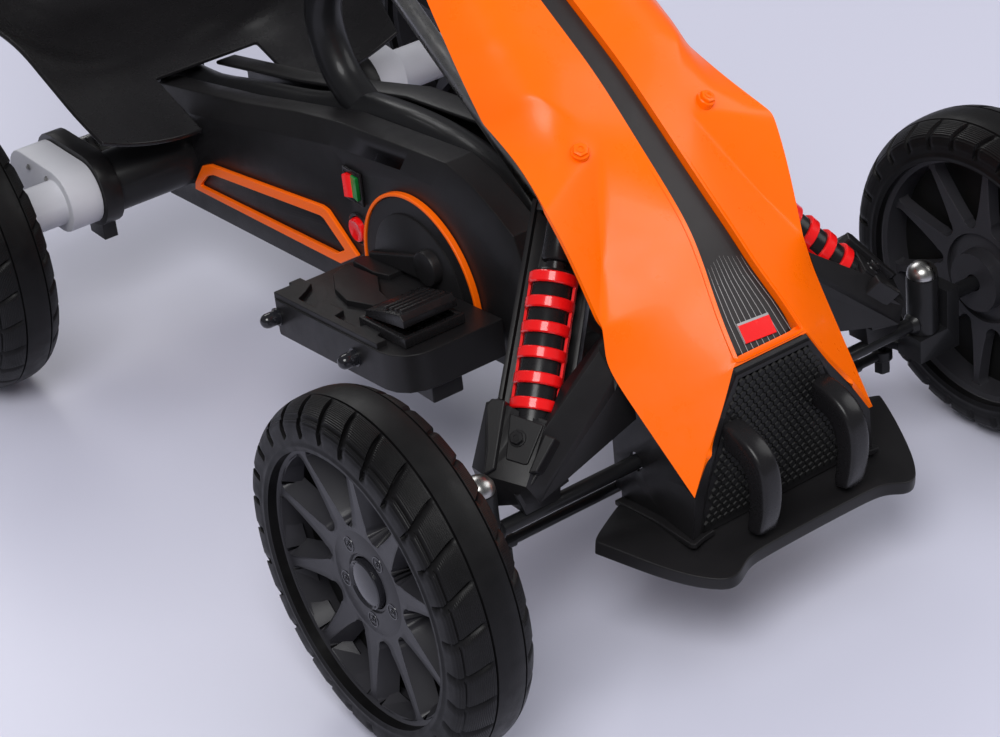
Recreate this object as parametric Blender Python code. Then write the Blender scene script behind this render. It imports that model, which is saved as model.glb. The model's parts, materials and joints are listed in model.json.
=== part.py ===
"""Electric go-kart for a child: a tube frame with a moulded console, nose, seat and four wheels.

Units are metres. +Z is up, the kart drives towards -Y and +X is the driver's left.
The origin lies on the ground, below the middle of the kart's bounding box.
Most places are written from the middle of the front axle line: x to the driver's left,
y towards the rear and h up from the axle. The function at() turns them into the kart's own frame.
"""
import math

import bmesh
import bpy
import numpy as np
from mathutils import Matrix, Vector

# Driving dimensions
WHEEL_RADIUS = 0.130
TYRE_WIDTH = 0.060
WHEELBASE = 0.662
FRONT_TRACK = 0.562
REAR_TRACK = 0.540
SEAT_REAR = 0.9245

# Clearances
SEAT_GAP = 0.0003
RUNNING_GAP = 0.0004
CLEAR_GAP = 0.0020

# Where the axles lie, and the height at which the body is drawn
LENGTH = WHEEL_RADIUS + SEAT_REAR
FRONT_AXLE_Y = -LENGTH / 2 + WHEEL_RADIUS
REAR_AXLE = WHEELBASE
AXLE_Z = WHEEL_RADIUS
DRAWN_AXLE_Z = 0.130

# Wheels
TYRE_SIDE_RADIUS = 0.118
TYRE_SHOULDER_RADIUS = 0.1265
TYRE_BEAD_RADIUS = 0.1000
RIM_BARREL_WALL = 0.011
RIM_WIDTH = 0.056
RIM_LIP_OFFSET = 0.024
RIM_HUB_OFFSET = 0.008
RIM_HUB_RADIUS = 0.024
RIM_HUB_LENGTH = 0.034
RIM_WEB_OFFSET = 0.0010
RIM_WEB_THICKNESS = 0.0030
RIM_BACK_DEPTH = 0.0080
SPOKE_PAIRS = 5
WHEEL_SIDES = 32
HUB_CAP_RADIUS = 0.018
HUB_CAP_HEIGHT = 0.005
AXLE_PIN_RADIUS = 0.006

# Steel tubes of the frame
SPINE_RADIUS = 0.0175
RAIL_RADIUS = 0.0090
RAIL_SPREAD = 0.040
BEAM_RADIUS = 0.0055
BEAM_H = -0.009
AXLE_TUBE_RADIUS = 0.0270
AXLE_TUBE_HALF = 0.128
COLUMN_RADIUS = 0.0155
TUBE_SIDES = 12

# Kingpins and knuckles
KINGPIN_INSET = 0.077
KINGPIN_X = FRONT_TRACK / 2 - KINGPIN_INSET
STEER_LIMIT = 25.0
KINGPIN_RADIUS = 0.0070
SLEEVE_RADIUS = 0.0120
SLEEVE_LOW = -0.018
SLEEVE_HIGH = 0.028
KNUCKLE_LOW = -0.038
KNUCKLE_HALF = 0.012
STEERING_ARM = 0.034
TIE_ROD_RADIUS = 0.0040
BALL_INSET = 0.010
TIE_ROD_EYE = 0.0080
TIE_ROD_EYE_HALF = 0.0045
ARM_THICKNESS = 0.0065
TIE_ROD_H = -0.0490
STUD_RADIUS = 0.0032
STUD_END_H = -0.0660

# Steering shaft
SHAFT_RADIUS = 0.0080
SHAFT_TILT = 36.0
SHAFT_LENGTH = 0.575
BUSH_BELOW_WHEEL = 0.075
BUSH_AT = SHAFT_LENGTH - BUSH_BELOW_WHEEL
BUSH_RADIUS = 0.017
BUSH_LENGTH = 0.030
PITMAN_THICKNESS = 0.006
PITMAN_CLEARANCE = 0.016
STEERING_RIM_STEPS = 28
STEERING_WHEEL_RADIUS = 0.125
STEERING_RIM_RADIUS = 0.0115

# Rear drive
HOUSING_RADIUS = 0.0330
HOUSING_WIDTH = 0.0168
COVER_RADIUS = 0.0280
COVER_WIDTH = 0.0300
DRUM_RADIUS = 0.0200
MOTOR_RADIUS = 0.0190
MOTOR_LENGTH = 0.0560
MOTOR_BACK = 0.0600
HOUSING_SIDES = 24

# Nose
SHELL = 0.0030
FAIRING_GAP = 0.0004
FRONT_TRIM_DROP = 0.0052
STRIPE_DEPTH = 0.0090
STRIPE_THICKNESS = 0.0027
STRIPE_SIDE_GAP = 0.0005
NOSE_FRONT = -0.0668
SPLITTER_THICKNESS = 0.0105
BULL_BAR_X = 0.0400
BULL_BAR_WIDTH = 0.0150

# Shocks and their troughs
SHOCK_RADIUS = 0.01425
SHOCK_NECK = 0.0070
SHOCK_ROD = 0.0108
SHOCK_BODY = 0.1125
SHOCK_LENGTH = 0.160
SHOCK_RINGS = 6
SHOCK_PITCH = 0.0176
SHOCK_FIRST_RING = 0.0180
SHOCK_RING_RADIUS = 0.01725
SHOCK_RING_HEIGHT = 0.0088
SHOCK_SIDES = 14
TROUGH_WALL = 0.004
TROUGH_END = 0.166

# Console
CONSOLE_HALF = 0.050
CONSOLE_RIDGE_FRONT = 0.045
CONSOLE_RIDGE_HALF = 0.040
CONSOLE_WALL = 0.0035
DISC_Y = 0.283
DISC_Z = 0.144
DISC_CUT_Z = 0.116
RING_RADIUS = 0.077
RING_WIDTH = 0.0045
RING_HEIGHT = 0.0055
TRIM_HEIGHT = 0.0030
DISC_THICKNESS = 0.0050
BOSS_Y = 0.2606
BOSS_Z = 0.1710
BOSS_RADIUS = 0.0145
BOSS_END = 0.0640

# Switches
ROCKER_PLACE = (0.3696, 0.200)
ROCKER_BODY_Y = 0.0210
ROCKER_BODY_Z = 0.0250
BEZEL_Y = 0.0250
BEZEL_Z = 0.0290
BEZEL_HEIGHT = 0.0022
ROCKER_Y = 0.0170
ROCKER_Z = 0.0200
ROCKER_TILT = 8.0
WINDOW_GAP = 0.0010
BUTTON_PLACE = (0.371, 0.161)
BUTTON_RADIUS = 0.0105

# Foot platforms and pedal
PLATFORM_OUTER = 0.1475
PLATFORM_FRONT = 0.172
PLATFORM_REAR = 0.358
PLATFORM_HEIGHT = 0.032
PLATFORM_WALL = 0.003
PEDAL_X = (0.082, 0.130)
PEDAL_Y = (0.190, 0.246)
PEDAL_BASE = 0.009
PEDAL_OPEN = 0.006

# Seat, battery and control box
SEAT_WALL = 0.0045
SEAT_FLOOR = 0.2065
SEAT_BRACKET_Y = 0.752
BRACKET_PLATE = 0.004
SPINE_REAR_Z = 0.166
BATTERY_SIZE = (0.070, 0.090, 0.086)
CONTROLLER_SIZE = (0.050, 0.070, 0.030)


def at(x, y, h):
    """A place written from the middle of the front axle line."""
    return Vector((x, FRONT_AXLE_Y + y, AXLE_Z + h))


def drawn(x, y, z):
    """A place on the body, with its height measured from the ground of the drawing."""
    return at(x, y, z - DRAWN_AXLE_Z)


def clear_scene():
    for old in list(bpy.data.objects):
        bpy.data.objects.remove(old, do_unlink=True)


def make_material(name, colour, roughness, metallic=0.0):
    made = bpy.data.materials.new(name)
    made.use_nodes = True
    shader = made.node_tree.nodes["Principled BSDF"]
    shader.inputs["Base Color"].default_value = (*colour, 1.0)
    shader.inputs["Roughness"].default_value = roughness
    shader.inputs["Metallic"].default_value = metallic
    made.diffuse_color = (*colour, 1.0)
    return made


ORANGE = make_material("orange_plastic", (1.0, 0.22, 0.0), 0.28)
BLACK = make_material("black_plastic", (0.018, 0.018, 0.020), 0.42)
GLOSS_BLACK = make_material("gloss_black_steel", (0.010, 0.010, 0.012), 0.18, 0.2)
RED = make_material("red_plastic", (0.75, 0.01, 0.01), 0.30)
GREEN = make_material("green_plastic", (0.01, 0.22, 0.04), 0.35)
TYRE = make_material("tyre_foam_rubber", (0.022, 0.022, 0.024), 0.62)
RIM = make_material("rim_plastic", (0.014, 0.014, 0.016), 0.38)
GREY = make_material("light_grey_nylon", (0.62, 0.62, 0.65), 0.45)
STEEL = make_material("zinc_steel", (0.55, 0.56, 0.58), 0.30, 1.0)
STRIPE = make_material("stripe_grey", (0.045, 0.043, 0.043), 0.45)


def add_object(name, mesh_builder, material, smooth=30.0):
    """Turns a bmesh into a named object with its material, faces out and round faces smooth."""
    bmesh.ops.recalc_face_normals(mesh_builder, faces=mesh_builder.faces)
    mesh = bpy.data.meshes.new(name)
    mesh_builder.to_mesh(mesh)
    mesh_builder.free()
    mesh.materials.append(material)
    mesh.shade_smooth()
    mesh.set_sharp_from_angle(angle=math.radians(smooth))
    made = bpy.data.objects.new(name, mesh)
    bpy.context.scene.collection.objects.link(made)
    return made


def combine(base, others, operation):
    """Joins or cuts with exact Booleans and keeps the result in base."""
    for other in others:
        modifier = base.modifiers.new(operation.lower(), "BOOLEAN")
        modifier.operation = operation
        modifier.solver = "EXACT"
        modifier.object = other
    bpy.context.view_layer.update()
    graph = bpy.context.evaluated_depsgraph_get()
    mesh = bpy.data.meshes.new_from_object(base.evaluated_get(graph))
    old = base.data
    base.modifiers.clear()
    base.data = mesh
    bpy.data.meshes.remove(old)
    mesh.name = base.name
    mesh.shade_smooth()
    mesh.set_sharp_from_angle(angle=math.radians(30.0))
    for other in others:
        bpy.data.objects.remove(other, do_unlink=True)
    return base


def join(base, others):
    return combine(base, others, "UNION")


def cut(base, others):
    return combine(base, others, "DIFFERENCE")


def ring_of(builder, points):
    return [builder.verts.new(point) for point in points]


def bridge(builder, first, second):
    count = len(first)
    for i in range(count):
        j = (i + 1) % count
        builder.faces.new((first[i], first[j], second[j], second[i]))


def loft(name, sections, material, smooth=30.0):
    """A closed solid through sections, which are rings of equally many points."""
    builder = bmesh.new()
    rings = [ring_of(builder, section) for section in sections]
    for first, second in zip(rings, rings[1:]):
        bridge(builder, first, second)
    builder.faces.new(rings[0])
    builder.faces.new(rings[-1])
    return add_object(name, builder, material, smooth)


def prism(name, outline, axis, low, high, material, smooth=30.0):
    """An outline of (u, v) pairs, pushed along an axis. X takes (y, z), Y takes (x, z), Z takes (x, y)."""
    def place(u, v, w):
        return {"X": (w, u, v), "Y": (u, w, v), "Z": (u, v, w)}[axis]
    sections = [[Vector(place(u, v, w)) for u, v in outline] for w in (low, high)]
    return loft(name, sections, material, smooth)


def box(name, centre, size, material, turn=None):
    builder = bmesh.new()
    matrix = Matrix.Translation(centre)
    if turn is not None:
        matrix = matrix @ turn.to_4x4()
    scale = Matrix.Diagonal((size[0], size[1], size[2], 1.0))
    bmesh.ops.create_cube(builder, size=1.0, matrix=matrix @ scale)
    return add_object(name, builder, material)


def smooth_path(points, steps):
    """Points on a curve through the given points, which ends where they end."""
    path = []
    padded = [2 * points[0] - points[1], *points, 2 * points[-1] - points[-2]]
    for i in range(len(points) - 1):
        p0, p1, p2, p3 = padded[i:i + 4]
        for step in range(steps):
            t = step / steps
            a = 2 * p1
            b = (p2 - p0) * t
            c = (2 * p0 - 5 * p1 + 4 * p2 - p3) * t ** 2
            d = (3 * p1 - p0 - 3 * p2 + p3) * t ** 3
            path.append((a + b + c + d) / 2)
    path.append(points[-1].copy())
    return path


def tube(name, path, radius, material, sides=TUBE_SIDES):
    """A round solid bar along a path."""
    sections = []
    up = None
    for i, point in enumerate(path):
        before = path[max(i - 1, 0)]
        after = path[min(i + 1, len(path) - 1)]
        along = (after - before).normalized()
        if up is None:
            up = along.orthogonal().normalized()
        up = (up - along * up.dot(along)).normalized()
        side = along.cross(up)
        ring = []
        for k in range(sides):
            turn = 2 * math.pi * k / sides
            ring.append(point + radius * (math.cos(turn) * up + math.sin(turn) * side))
        sections.append(ring)
    return loft(name, sections, material, 40.0)


def rod(name, start, end, radius, material, sides=TUBE_SIDES):
    return tube(name, [Vector(start), Vector(end)], radius, material, sides)


def turned(name, profile, centre, axis, material, sides=WHEEL_SIDES):
    """Spins a closed outline of (along, radius) points round an axis through centre."""
    builder = bmesh.new()
    axis = Vector(axis).normalized()
    up = Vector((0, 0, 1)) if abs(axis.z) < 0.9 else Vector((0, 1, 0))
    up = (up - axis * up.dot(axis)).normalized()
    side = axis.cross(up)
    rings = []
    for along, radius in profile:
        if radius == 0:
            rings.append([builder.verts.new(centre + axis * along)])
            continue
        ring = []
        for k in range(sides):
            turn = 2 * math.pi * k / sides
            outward = math.cos(turn) * up + math.sin(turn) * side
            ring.append(builder.verts.new(centre + axis * along + radius * outward))
        rings.append(ring)
    pairs = list(zip(rings, rings[1:]))
    if len(rings[0]) > 1:
        pairs.append((rings[-1], rings[0]))
    for first, second in pairs:
        for k in range(sides):
            n = (k + 1) % sides
            if len(first) == 1 and len(second) == 1:
                continue
            if len(first) == 1:
                builder.faces.new((first[0], second[k], second[n]))
            elif len(second) == 1:
                builder.faces.new((first[k], first[n], second[0]))
            else:
                builder.faces.new((first[k], first[n], second[n], second[k]))
    return add_object(name, builder, material, 35.0)


def sided(side):
    """The words for a side: +1 is the driver's left."""
    return "left" if side > 0 else "right"


def steering_axis():
    tilt = math.radians(SHAFT_TILT)
    return Vector((0, math.cos(tilt), math.sin(tilt)))


def shaft_down():
    """The direction from the steering shaft to the tip of its pitman arm."""
    axis = steering_axis()
    return Vector((0, axis.z, -axis.y))


def pitman_tip():
    return at(0, STEERING_ARM, TIE_ROD_H)


def shaft_start():
    return pitman_tip() - shaft_down() * STEERING_ARM


def tie_rod_outer(side):
    return at(side * (KINGPIN_X - BALL_INSET), STEERING_ARM, TIE_ROD_H)


def tie_rod_room():
    """The space that the tie rods sweep behind the nose, up to full lock."""
    lock = math.radians(STEER_LIMIT)
    foremost = STEERING_ARM * math.cos(lock) - BALL_INSET * math.sin(lock)
    front = foremost - TIE_ROD_RADIUS - CLEAR_GAP
    top = TIE_ROD_H + TIE_ROD_RADIUS + CLEAR_GAP
    depth = STEERING_ARM
    height = 4 * SPLITTER_THICKNESS
    return box("tie_rod_room", at(0, front + depth / 2, top - height / 2), (2 * KINGPIN_X, depth, height), BLACK)


def build_frame():
    spine_points = [
        drawn(0, 0.125, 0.133),
        drawn(0, 0.165, 0.152),
        drawn(0, 0.206, 0.2045),
        drawn(0, 0.235, 0.226),
        drawn(0, 0.264, 0.2348),
        drawn(0, 0.317, 0.2388),
        drawn(0, 0.372, 0.2364),
        drawn(0, 0.423, 0.2287),
        drawn(0, 0.497, 0.206),
        drawn(0, 0.597, 0.185),
        drawn(0, REAR_AXLE, 0.171),
        drawn(0, 0.695, SPINE_REAR_Z + 0.001),
        drawn(0, SEAT_BRACKET_Y - 0.022, SPINE_REAR_Z),
        drawn(0, SEAT_BRACKET_Y + 0.018, SPINE_REAR_Z),
        drawn(0, SEAT_BRACKET_Y + 0.053, SPINE_REAR_Z),
    ]
    frame = tube("main_frame", smooth_path(spine_points, 2), SPINE_RADIUS, GLOSS_BLACK)
    pieces = []
    cross_h = spine_points[0].z - AXLE_Z
    cross_y = spine_points[0].y - FRONT_AXLE_Y
    half = RAIL_SPREAD + RAIL_RADIUS
    pieces.append(rod("cross", at(-half, cross_y, cross_h), at(half, cross_y, cross_h),
                      SPINE_RADIUS * 0.9, GLOSS_BLACK))
    for side in (-1, 1):
        x = side * RAIL_SPREAD
        pieces.append(rod("rail", at(x, cross_y, cross_h), at(x, 0, BEAM_H), RAIL_RADIUS, GLOSS_BLACK, 12))
    pieces.append(rod("beam", at(-KINGPIN_X, 0, BEAM_H), at(KINGPIN_X, 0, BEAM_H), BEAM_RADIUS, GLOSS_BLACK))
    for side in (-1, 1):
        pieces.append(rod("sleeve", at(side * KINGPIN_X, 0, SLEEVE_LOW), at(side * KINGPIN_X, 0, SLEEVE_HIGH),
                          SLEEVE_RADIUS, GLOSS_BLACK))
    pieces.append(rod("axle_tube", at(-AXLE_TUBE_HALF, REAR_AXLE, 0), at(AXLE_TUBE_HALF, REAR_AXLE, 0),
                      AXLE_TUBE_RADIUS, GLOSS_BLACK, 24))
    axis = steering_axis()
    bush_centre = shaft_start() + axis * BUSH_AT
    column_points = [
        drawn(0, 0.415, 0.230),
        drawn(0, 0.452, 0.256),
        drawn(0, 0.468, 0.300),
        bush_centre + Vector((0, 0.030, -0.055)),
        bush_centre,
    ]
    pieces.append(tube("column", smooth_path(column_points, 3), COLUMN_RADIUS, GLOSS_BLACK))
    pieces.append(rod("bush", bush_centre - axis * BUSH_LENGTH / 2, bush_centre + axis * BUSH_LENGTH / 2,
                      BUSH_RADIUS, GLOSS_BLACK))
    frame = join(frame, pieces)
    bores = []
    for side in (-1, 1):
        bores.append(rod("kingpin_bore", at(side * KINGPIN_X, 0, SLEEVE_LOW - 0.01),
                         at(side * KINGPIN_X, 0, SLEEVE_HIGH + 0.01), KINGPIN_RADIUS + RUNNING_GAP, GLOSS_BLACK))
    bores.append(rod("bush_bore", bush_centre - axis * BUSH_LENGTH, bush_centre + axis * BUSH_LENGTH,
                     SHAFT_RADIUS + RUNNING_GAP, GLOSS_BLACK))
    reach = AXLE_TUBE_HALF + 0.01
    bores.append(rod("axle_bore", at(-reach, REAR_AXLE, 0), at(reach, REAR_AXLE, 0),
                     AXLE_PIN_RADIUS + SEAT_GAP, GLOSS_BLACK))
    return cut(frame, bores)


def tyre_profile():
    half = TYRE_WIDTH / 2
    return [
        (-half, TYRE_BEAD_RADIUS),
        (-half, TYRE_SIDE_RADIUS - 0.005),
        (-half * 0.96, TYRE_SIDE_RADIUS),
        (-half * 0.72, TYRE_SHOULDER_RADIUS),
        (-half * 0.36, WHEEL_RADIUS - 0.0006),
        (0, WHEEL_RADIUS),
        (half * 0.36, WHEEL_RADIUS - 0.0006),
        (half * 0.72, TYRE_SHOULDER_RADIUS),
        (half * 0.96, TYRE_SIDE_RADIUS),
        (half, TYRE_SIDE_RADIUS - 0.005),
        (half, TYRE_BEAD_RADIUS),
    ]


def spoke_pockets(centre, side):
    """Cutters for the pockets on both faces of the rim: a wide one between pairs and a slim one inside each pair."""
    tools = []
    inner = RIM_HUB_RADIUS + 0.004
    outer = TYRE_BEAD_RADIUS - RIM_BARREL_WALL - 0.004
    step = 2 * math.pi / SPOKE_PAIRS
    web_front = centre.x + side * RIM_WEB_OFFSET
    web_back = web_front - side * RIM_WEB_THICKNESS
    reaches = [sorted((web_front, centre.x + side * TYRE_WIDTH)), sorted((web_back, centre.x - side * TYRE_WIDTH))]
    for pair in range(SPOKE_PAIRS):
        for middle, inner_half, outer_half, start in ((0.5, 0.20, 0.315, inner), (0.0, 0.03, 0.085, inner + 0.012)):
            angle = (pair + middle) * step + math.pi / 2
            points = []
            for k in range(5):
                sweep = -outer_half + 2 * outer_half * k / 4
                points.append((outer, angle + sweep))
            points.append((start, angle + inner_half))
            points.append((start, angle - inner_half))
            outline = [(centre.y + r * math.cos(a), centre.z + r * math.sin(a)) for r, a in points]
            tools += [prism("pocket", outline, "X", low, high, RIM) for low, high in reaches]
    return tools


def build_wheel(end, side, track, y):
    """Tyre, rim and hub cap of one wheel. The wheel turns on an axle pin through the rim's hub."""
    centre = at(side * track / 2, y, 0)
    label = f"{end}_{sided(side)}"
    axis = (side, 0, 0)
    turned(f"tyre_{label}", tyre_profile(), centre, axis, TYRE)
    outer = TYRE_BEAD_RADIUS - SEAT_GAP
    inner = outer - RIM_BARREL_WALL
    half = RIM_WIDTH / 2
    bore = AXLE_PIN_RADIUS + RUNNING_GAP
    hub_front = RIM_HUB_OFFSET
    hub_back = RIM_HUB_OFFSET - RIM_HUB_LENGTH
    back = RIM_WEB_OFFSET - RIM_WEB_THICKNESS - RIM_BACK_DEPTH
    profile = [
        (-half, outer), (half, outer), (half, inner + 0.003), (RIM_LIP_OFFSET, inner),
        (hub_front, RIM_HUB_RADIUS), (hub_front, bore), (hub_back, bore), (hub_back, RIM_HUB_RADIUS),
        (back, RIM_HUB_RADIUS), (back - 0.004, inner), (-half, inner + 0.004),
    ]
    rim = turned(f"rim_{label}", profile, centre, axis, RIM)
    tools = spoke_pockets(centre, side)
    bodies = join(tools[0], tools[1:])
    cut(rim, [bodies])
    start = hub_front + SEAT_GAP
    cap = [(start, 0), (start, HUB_CAP_RADIUS), (start + HUB_CAP_HEIGHT * 0.6, HUB_CAP_RADIUS),
           (start + HUB_CAP_HEIGHT, HUB_CAP_RADIUS * 0.72), (start + HUB_CAP_HEIGHT, 0)]
    turned(f"hub_cap_{label}", cap, centre, axis, GLOSS_BLACK, 24)


def build_knuckle(side):
    """Kingpin, stub axle and steering arm in one forging, with the domed nut on the kingpin."""
    x = side * KINGPIN_X
    flange_top = SLEEVE_LOW - RUNNING_GAP
    knuckle = rod(f"knuckle_{sided(side)}", at(x, 0, KNUCKLE_LOW + 0.002), at(x, 0, SLEEVE_HIGH + 0.008),
                  KINGPIN_RADIUS, STEEL, 16)
    reach = 0.026
    flange = box("flange", at(side * (KINGPIN_X + 0.006), 0, (KNUCKLE_LOW + flange_top) / 2),
                 (2 * reach - 0.012, 2 * KNUCKLE_HALF, flange_top - KNUCKLE_LOW), STEEL)
    upright_in = KINGPIN_X + SLEEVE_RADIUS + CLEAR_GAP
    upright_out = KINGPIN_X + reach
    upright_top = 0.013
    upright = box("upright", at(side * (upright_in + upright_out) / 2, 0, (KNUCKLE_LOW + upright_top) / 2),
                  (upright_out - upright_in, 2 * KNUCKLE_HALF, upright_top - KNUCKLE_LOW), STEEL)
    stub_end = FRONT_TRACK / 2 + RIM_HUB_OFFSET - 0.001
    stub = rod("stub", at(side * (upright_in + 0.002), 0, 0), at(side * stub_end, 0, 0), AXLE_PIN_RADIUS, STEEL, 20)
    ball = tie_rod_outer(side)
    arm_half = 0.007
    arm_low = AXLE_Z + KNUCKLE_LOW
    outline = [
        (x - side * arm_half, FRONT_AXLE_Y),
        (x + side * arm_half, FRONT_AXLE_Y),
        (ball.x + side * arm_half, ball.y),
        (ball.x + side * arm_half * 0.6, ball.y + arm_half),
        (ball.x - side * arm_half * 0.6, ball.y + arm_half),
        (ball.x - side * arm_half, ball.y),
    ]
    arm = prism("arm", outline, "Z", arm_low, arm_low + ARM_THICKNESS, STEEL)
    stud_end = Vector((ball.x, ball.y, AXLE_Z + STUD_END_H))
    stud = rod("stud", stud_end, Vector((ball.x, ball.y, arm_low + 0.002)), STUD_RADIUS, STEEL, 12)
    nut_top = ball.z - TIE_ROD_EYE_HALF - RUNNING_GAP
    stud_nut = rod("stud_nut", stud_end + Vector((0, 0, 0.002)), Vector((ball.x, ball.y, nut_top)), 0.0065, STEEL, 6)
    dome = [(0, 0), (0, 0.0105), (0.005, 0.0105), (0.009, 0.0070), (0.0105, 0.003), (0.011, 0)]
    nut = turned("nut", dome, at(x, 0, SLEEVE_HIGH + SEAT_GAP), (0, 0, 1), STEEL, 12)
    return join(knuckle, [flange, upright, stub, arm, stud, stud_nut, nut])


def build_tie_rod(side):
    """A rod with an eye round the knuckle's stud. Its inner end stops beside the pitman arm."""
    outer = tie_rod_outer(side)
    inner = pitman_tip() + Vector((side * PITMAN_CLEARANCE, 0, 0))
    along = (inner - outer).normalized()
    bar = rod(f"tie_rod_{sided(side)}", outer + along * TIE_ROD_EYE * 0.5, inner, TIE_ROD_RADIUS, STEEL, 12)
    eye_half = Vector((0, 0, TIE_ROD_EYE_HALF))
    bar = join(bar, [rod("eye", outer - eye_half, outer + eye_half, TIE_ROD_EYE, STEEL, 16)])
    return cut(bar, [rod("hole", outer - 3 * eye_half, outer + 3 * eye_half, STUD_RADIUS + RUNNING_GAP, STEEL, 12)])


def build_steering():
    axis = steering_axis()
    down = shaft_down()
    side = Vector((1, 0, 0))
    start = shaft_start()
    end = start + axis * SHAFT_LENGTH
    shaft = rod("steering_shaft", start, end, SHAFT_RADIUS, STEEL, 16)
    corners = [(-0.010, -0.010), (0.010, -0.010), (0.011, STEERING_ARM + 0.008), (-0.011, STEERING_ARM + 0.008)]
    sections = []
    for lift in (0.001, 0.001 + PITMAN_THICKNESS):
        sections.append([start + axis * lift + side * u + down * v for u, v in corners])
    join(shaft, [loft("plate", sections, STEEL)])
    bore = SHAFT_RADIUS + SEAT_GAP
    hub = turned("steering_wheel", [(-0.030, bore), (-0.030, 0.018), (-0.004, 0.030), (0.006, 0.030), (0.006, bore)],
                 end, axis, BLACK, 20)
    rim_centre = end + axis * 0.012
    builder = bmesh.new()
    loops = []
    for k in range(STEERING_RIM_STEPS):
        turn = 2 * math.pi * k / STEERING_RIM_STEPS
        outward = math.sin(turn) * side - math.cos(turn) * down
        flat = 1.0 - 0.14 * max(0.0, -math.cos(turn)) ** 3
        middle = rim_centre + outward * (STEERING_WHEEL_RADIUS - STEERING_RIM_RADIUS) * flat
        ring = []
        for j in range(8):
            angle = 2 * math.pi * j / 8
            ring.append(middle + STEERING_RIM_RADIUS * (math.cos(angle) * outward + math.sin(angle) * axis))
        loops.append(ring_of(builder, ring))
    for first, second in zip(loops, loops[1:] + loops[:1]):
        bridge(builder, first, second)
    rim = add_object("rim", builder, BLACK, 60.0)
    spokes = []
    for direction in (side, -side, down):
        across = axis.cross(direction)
        sections = []
        for distance, half, lift in ((0.016, 0.016, 0.0), (0.060, 0.011, 0.004), (0.100, 0.013, 0.012)):
            middle = end + direction * distance + axis * lift
            thick = 0.0045
            sections.append([middle + across * half - axis * thick, middle + across * half + axis * thick,
                             middle - across * half + axis * thick, middle - across * half - axis * thick])
        spokes.append(loft("spoke", sections, BLACK))
    join(hub, [rim, *spokes])
    face = 0.006 + SEAT_GAP
    cap = [(face, 0), (face, 0.028), (face + 0.008, 0.026), (face + 0.012, 0.018), (face + 0.012, 0)]
    turned("steering_cap", cap, end, axis, BLACK, 20)


def housing_outline(radius):
    """The gearbox seen from the side as (y, z): one arc round the axle, one round the motor behind it."""
    points = []
    half = HOUSING_SIDES // 2
    for back, turned_by in ((0, 0.5 * math.pi), (MOTOR_BACK, -0.5 * math.pi)):
        for k in range(half + 1):
            turn = turned_by + math.pi * k / half
            points.append((FRONT_AXLE_Y + REAR_AXLE + back + radius * math.cos(turn), AXLE_Z + radius * math.sin(turn)))
    return points


def build_rear_drive():
    """A steel axle through the frame's tube, and a gearbox with its motor beside each rear wheel."""
    half = REAR_TRACK / 2 + RIM_HUB_OFFSET - 0.001
    rod("rear_axle", at(-half, REAR_AXLE, 0), at(half, REAR_AXLE, 0), AXLE_PIN_RADIUS, STEEL, 20)
    bore = AXLE_PIN_RADIUS + SEAT_GAP
    wheel_back = REAR_TRACK / 2 + RIM_HUB_OFFSET - RIM_HUB_LENGTH
    for side in (-1, 1):
        label = sided(side)
        start = AXLE_TUBE_HALF + SEAT_GAP
        face = start + HOUSING_WIDTH

        def across(name, outline, low, high, material):
            near, far = sorted((side * low, side * high))
            return prism(name, outline, "X", near, far, material)

        def axle_room(low, high):
            return rod("axle_room", at(side * low, REAR_AXLE, 0), at(side * high, REAR_AXLE, 0), bore, BLACK, 20)

        housing = across(f"gearbox_housing_{label}", housing_outline(HOUSING_RADIUS), start, face, BLACK)
        lug_h = -HOUSING_RADIUS - 0.0050
        lug = box("lug", at(side * (start + 0.0075), REAR_AXLE + 0.004, lug_h), (0.0130, 0.0260, 0.0180), BLACK)
        join(housing, [lug])
        cut(housing, [axle_room(start - 0.01, face + 0.01)])
        cover_start = face + SEAT_GAP
        cover_end = cover_start + COVER_WIDTH
        drum_end = wheel_back - CLEAR_GAP
        cover = across(f"gearbox_cover_{label}", housing_outline(COVER_RADIUS), cover_start, cover_end, GREY)
        drum = rod("drum", at(side * (cover_end - 0.004), REAR_AXLE, 0), at(side * drum_end, REAR_AXLE, 0),
                   DRUM_RADIUS, GREY, 24)
        join(cover, [drum])
        cut(cover, [axle_room(cover_start - 0.01, drum_end + 0.01)])
        motor_end = start - SEAT_GAP
        rod(f"motor_{label}", at(side * (motor_end - MOTOR_LENGTH), REAR_AXLE + MOTOR_BACK, 0),
            at(side * motor_end, REAR_AXLE + MOTOR_BACK, 0), MOTOR_RADIUS, STEEL, 24)


def hull(name, points, material):
    """The smallest solid without hollows that holds the points."""
    builder = bmesh.new()
    for point in points:
        builder.verts.new(point)
    made = bmesh.ops.convex_hull(builder, input=builder.verts)
    loose = [item for item in made["geom_interior"] + made["geom_unused"] if isinstance(item, bmesh.types.BMVert)]
    bmesh.ops.delete(builder, geom=list(set(loose)), context="VERTS")
    bmesh.ops.dissolve_limit(builder, angle_limit=math.radians(1.0), verts=builder.verts, edges=builder.edges)
    return add_object(name, builder, material)


def inward_offsets(builder, depth):
    """For each vertex the step that carries all faces round it the same depth inward."""
    steps = {}
    for vert in builder.verts:
        rows = np.array([face.normal for face in vert.link_faces])
        step = np.linalg.lstsq(rows, np.full(len(rows), -depth), rcond=0.05)[0]
        steps[vert] = Vector(step)
    return steps


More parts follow.
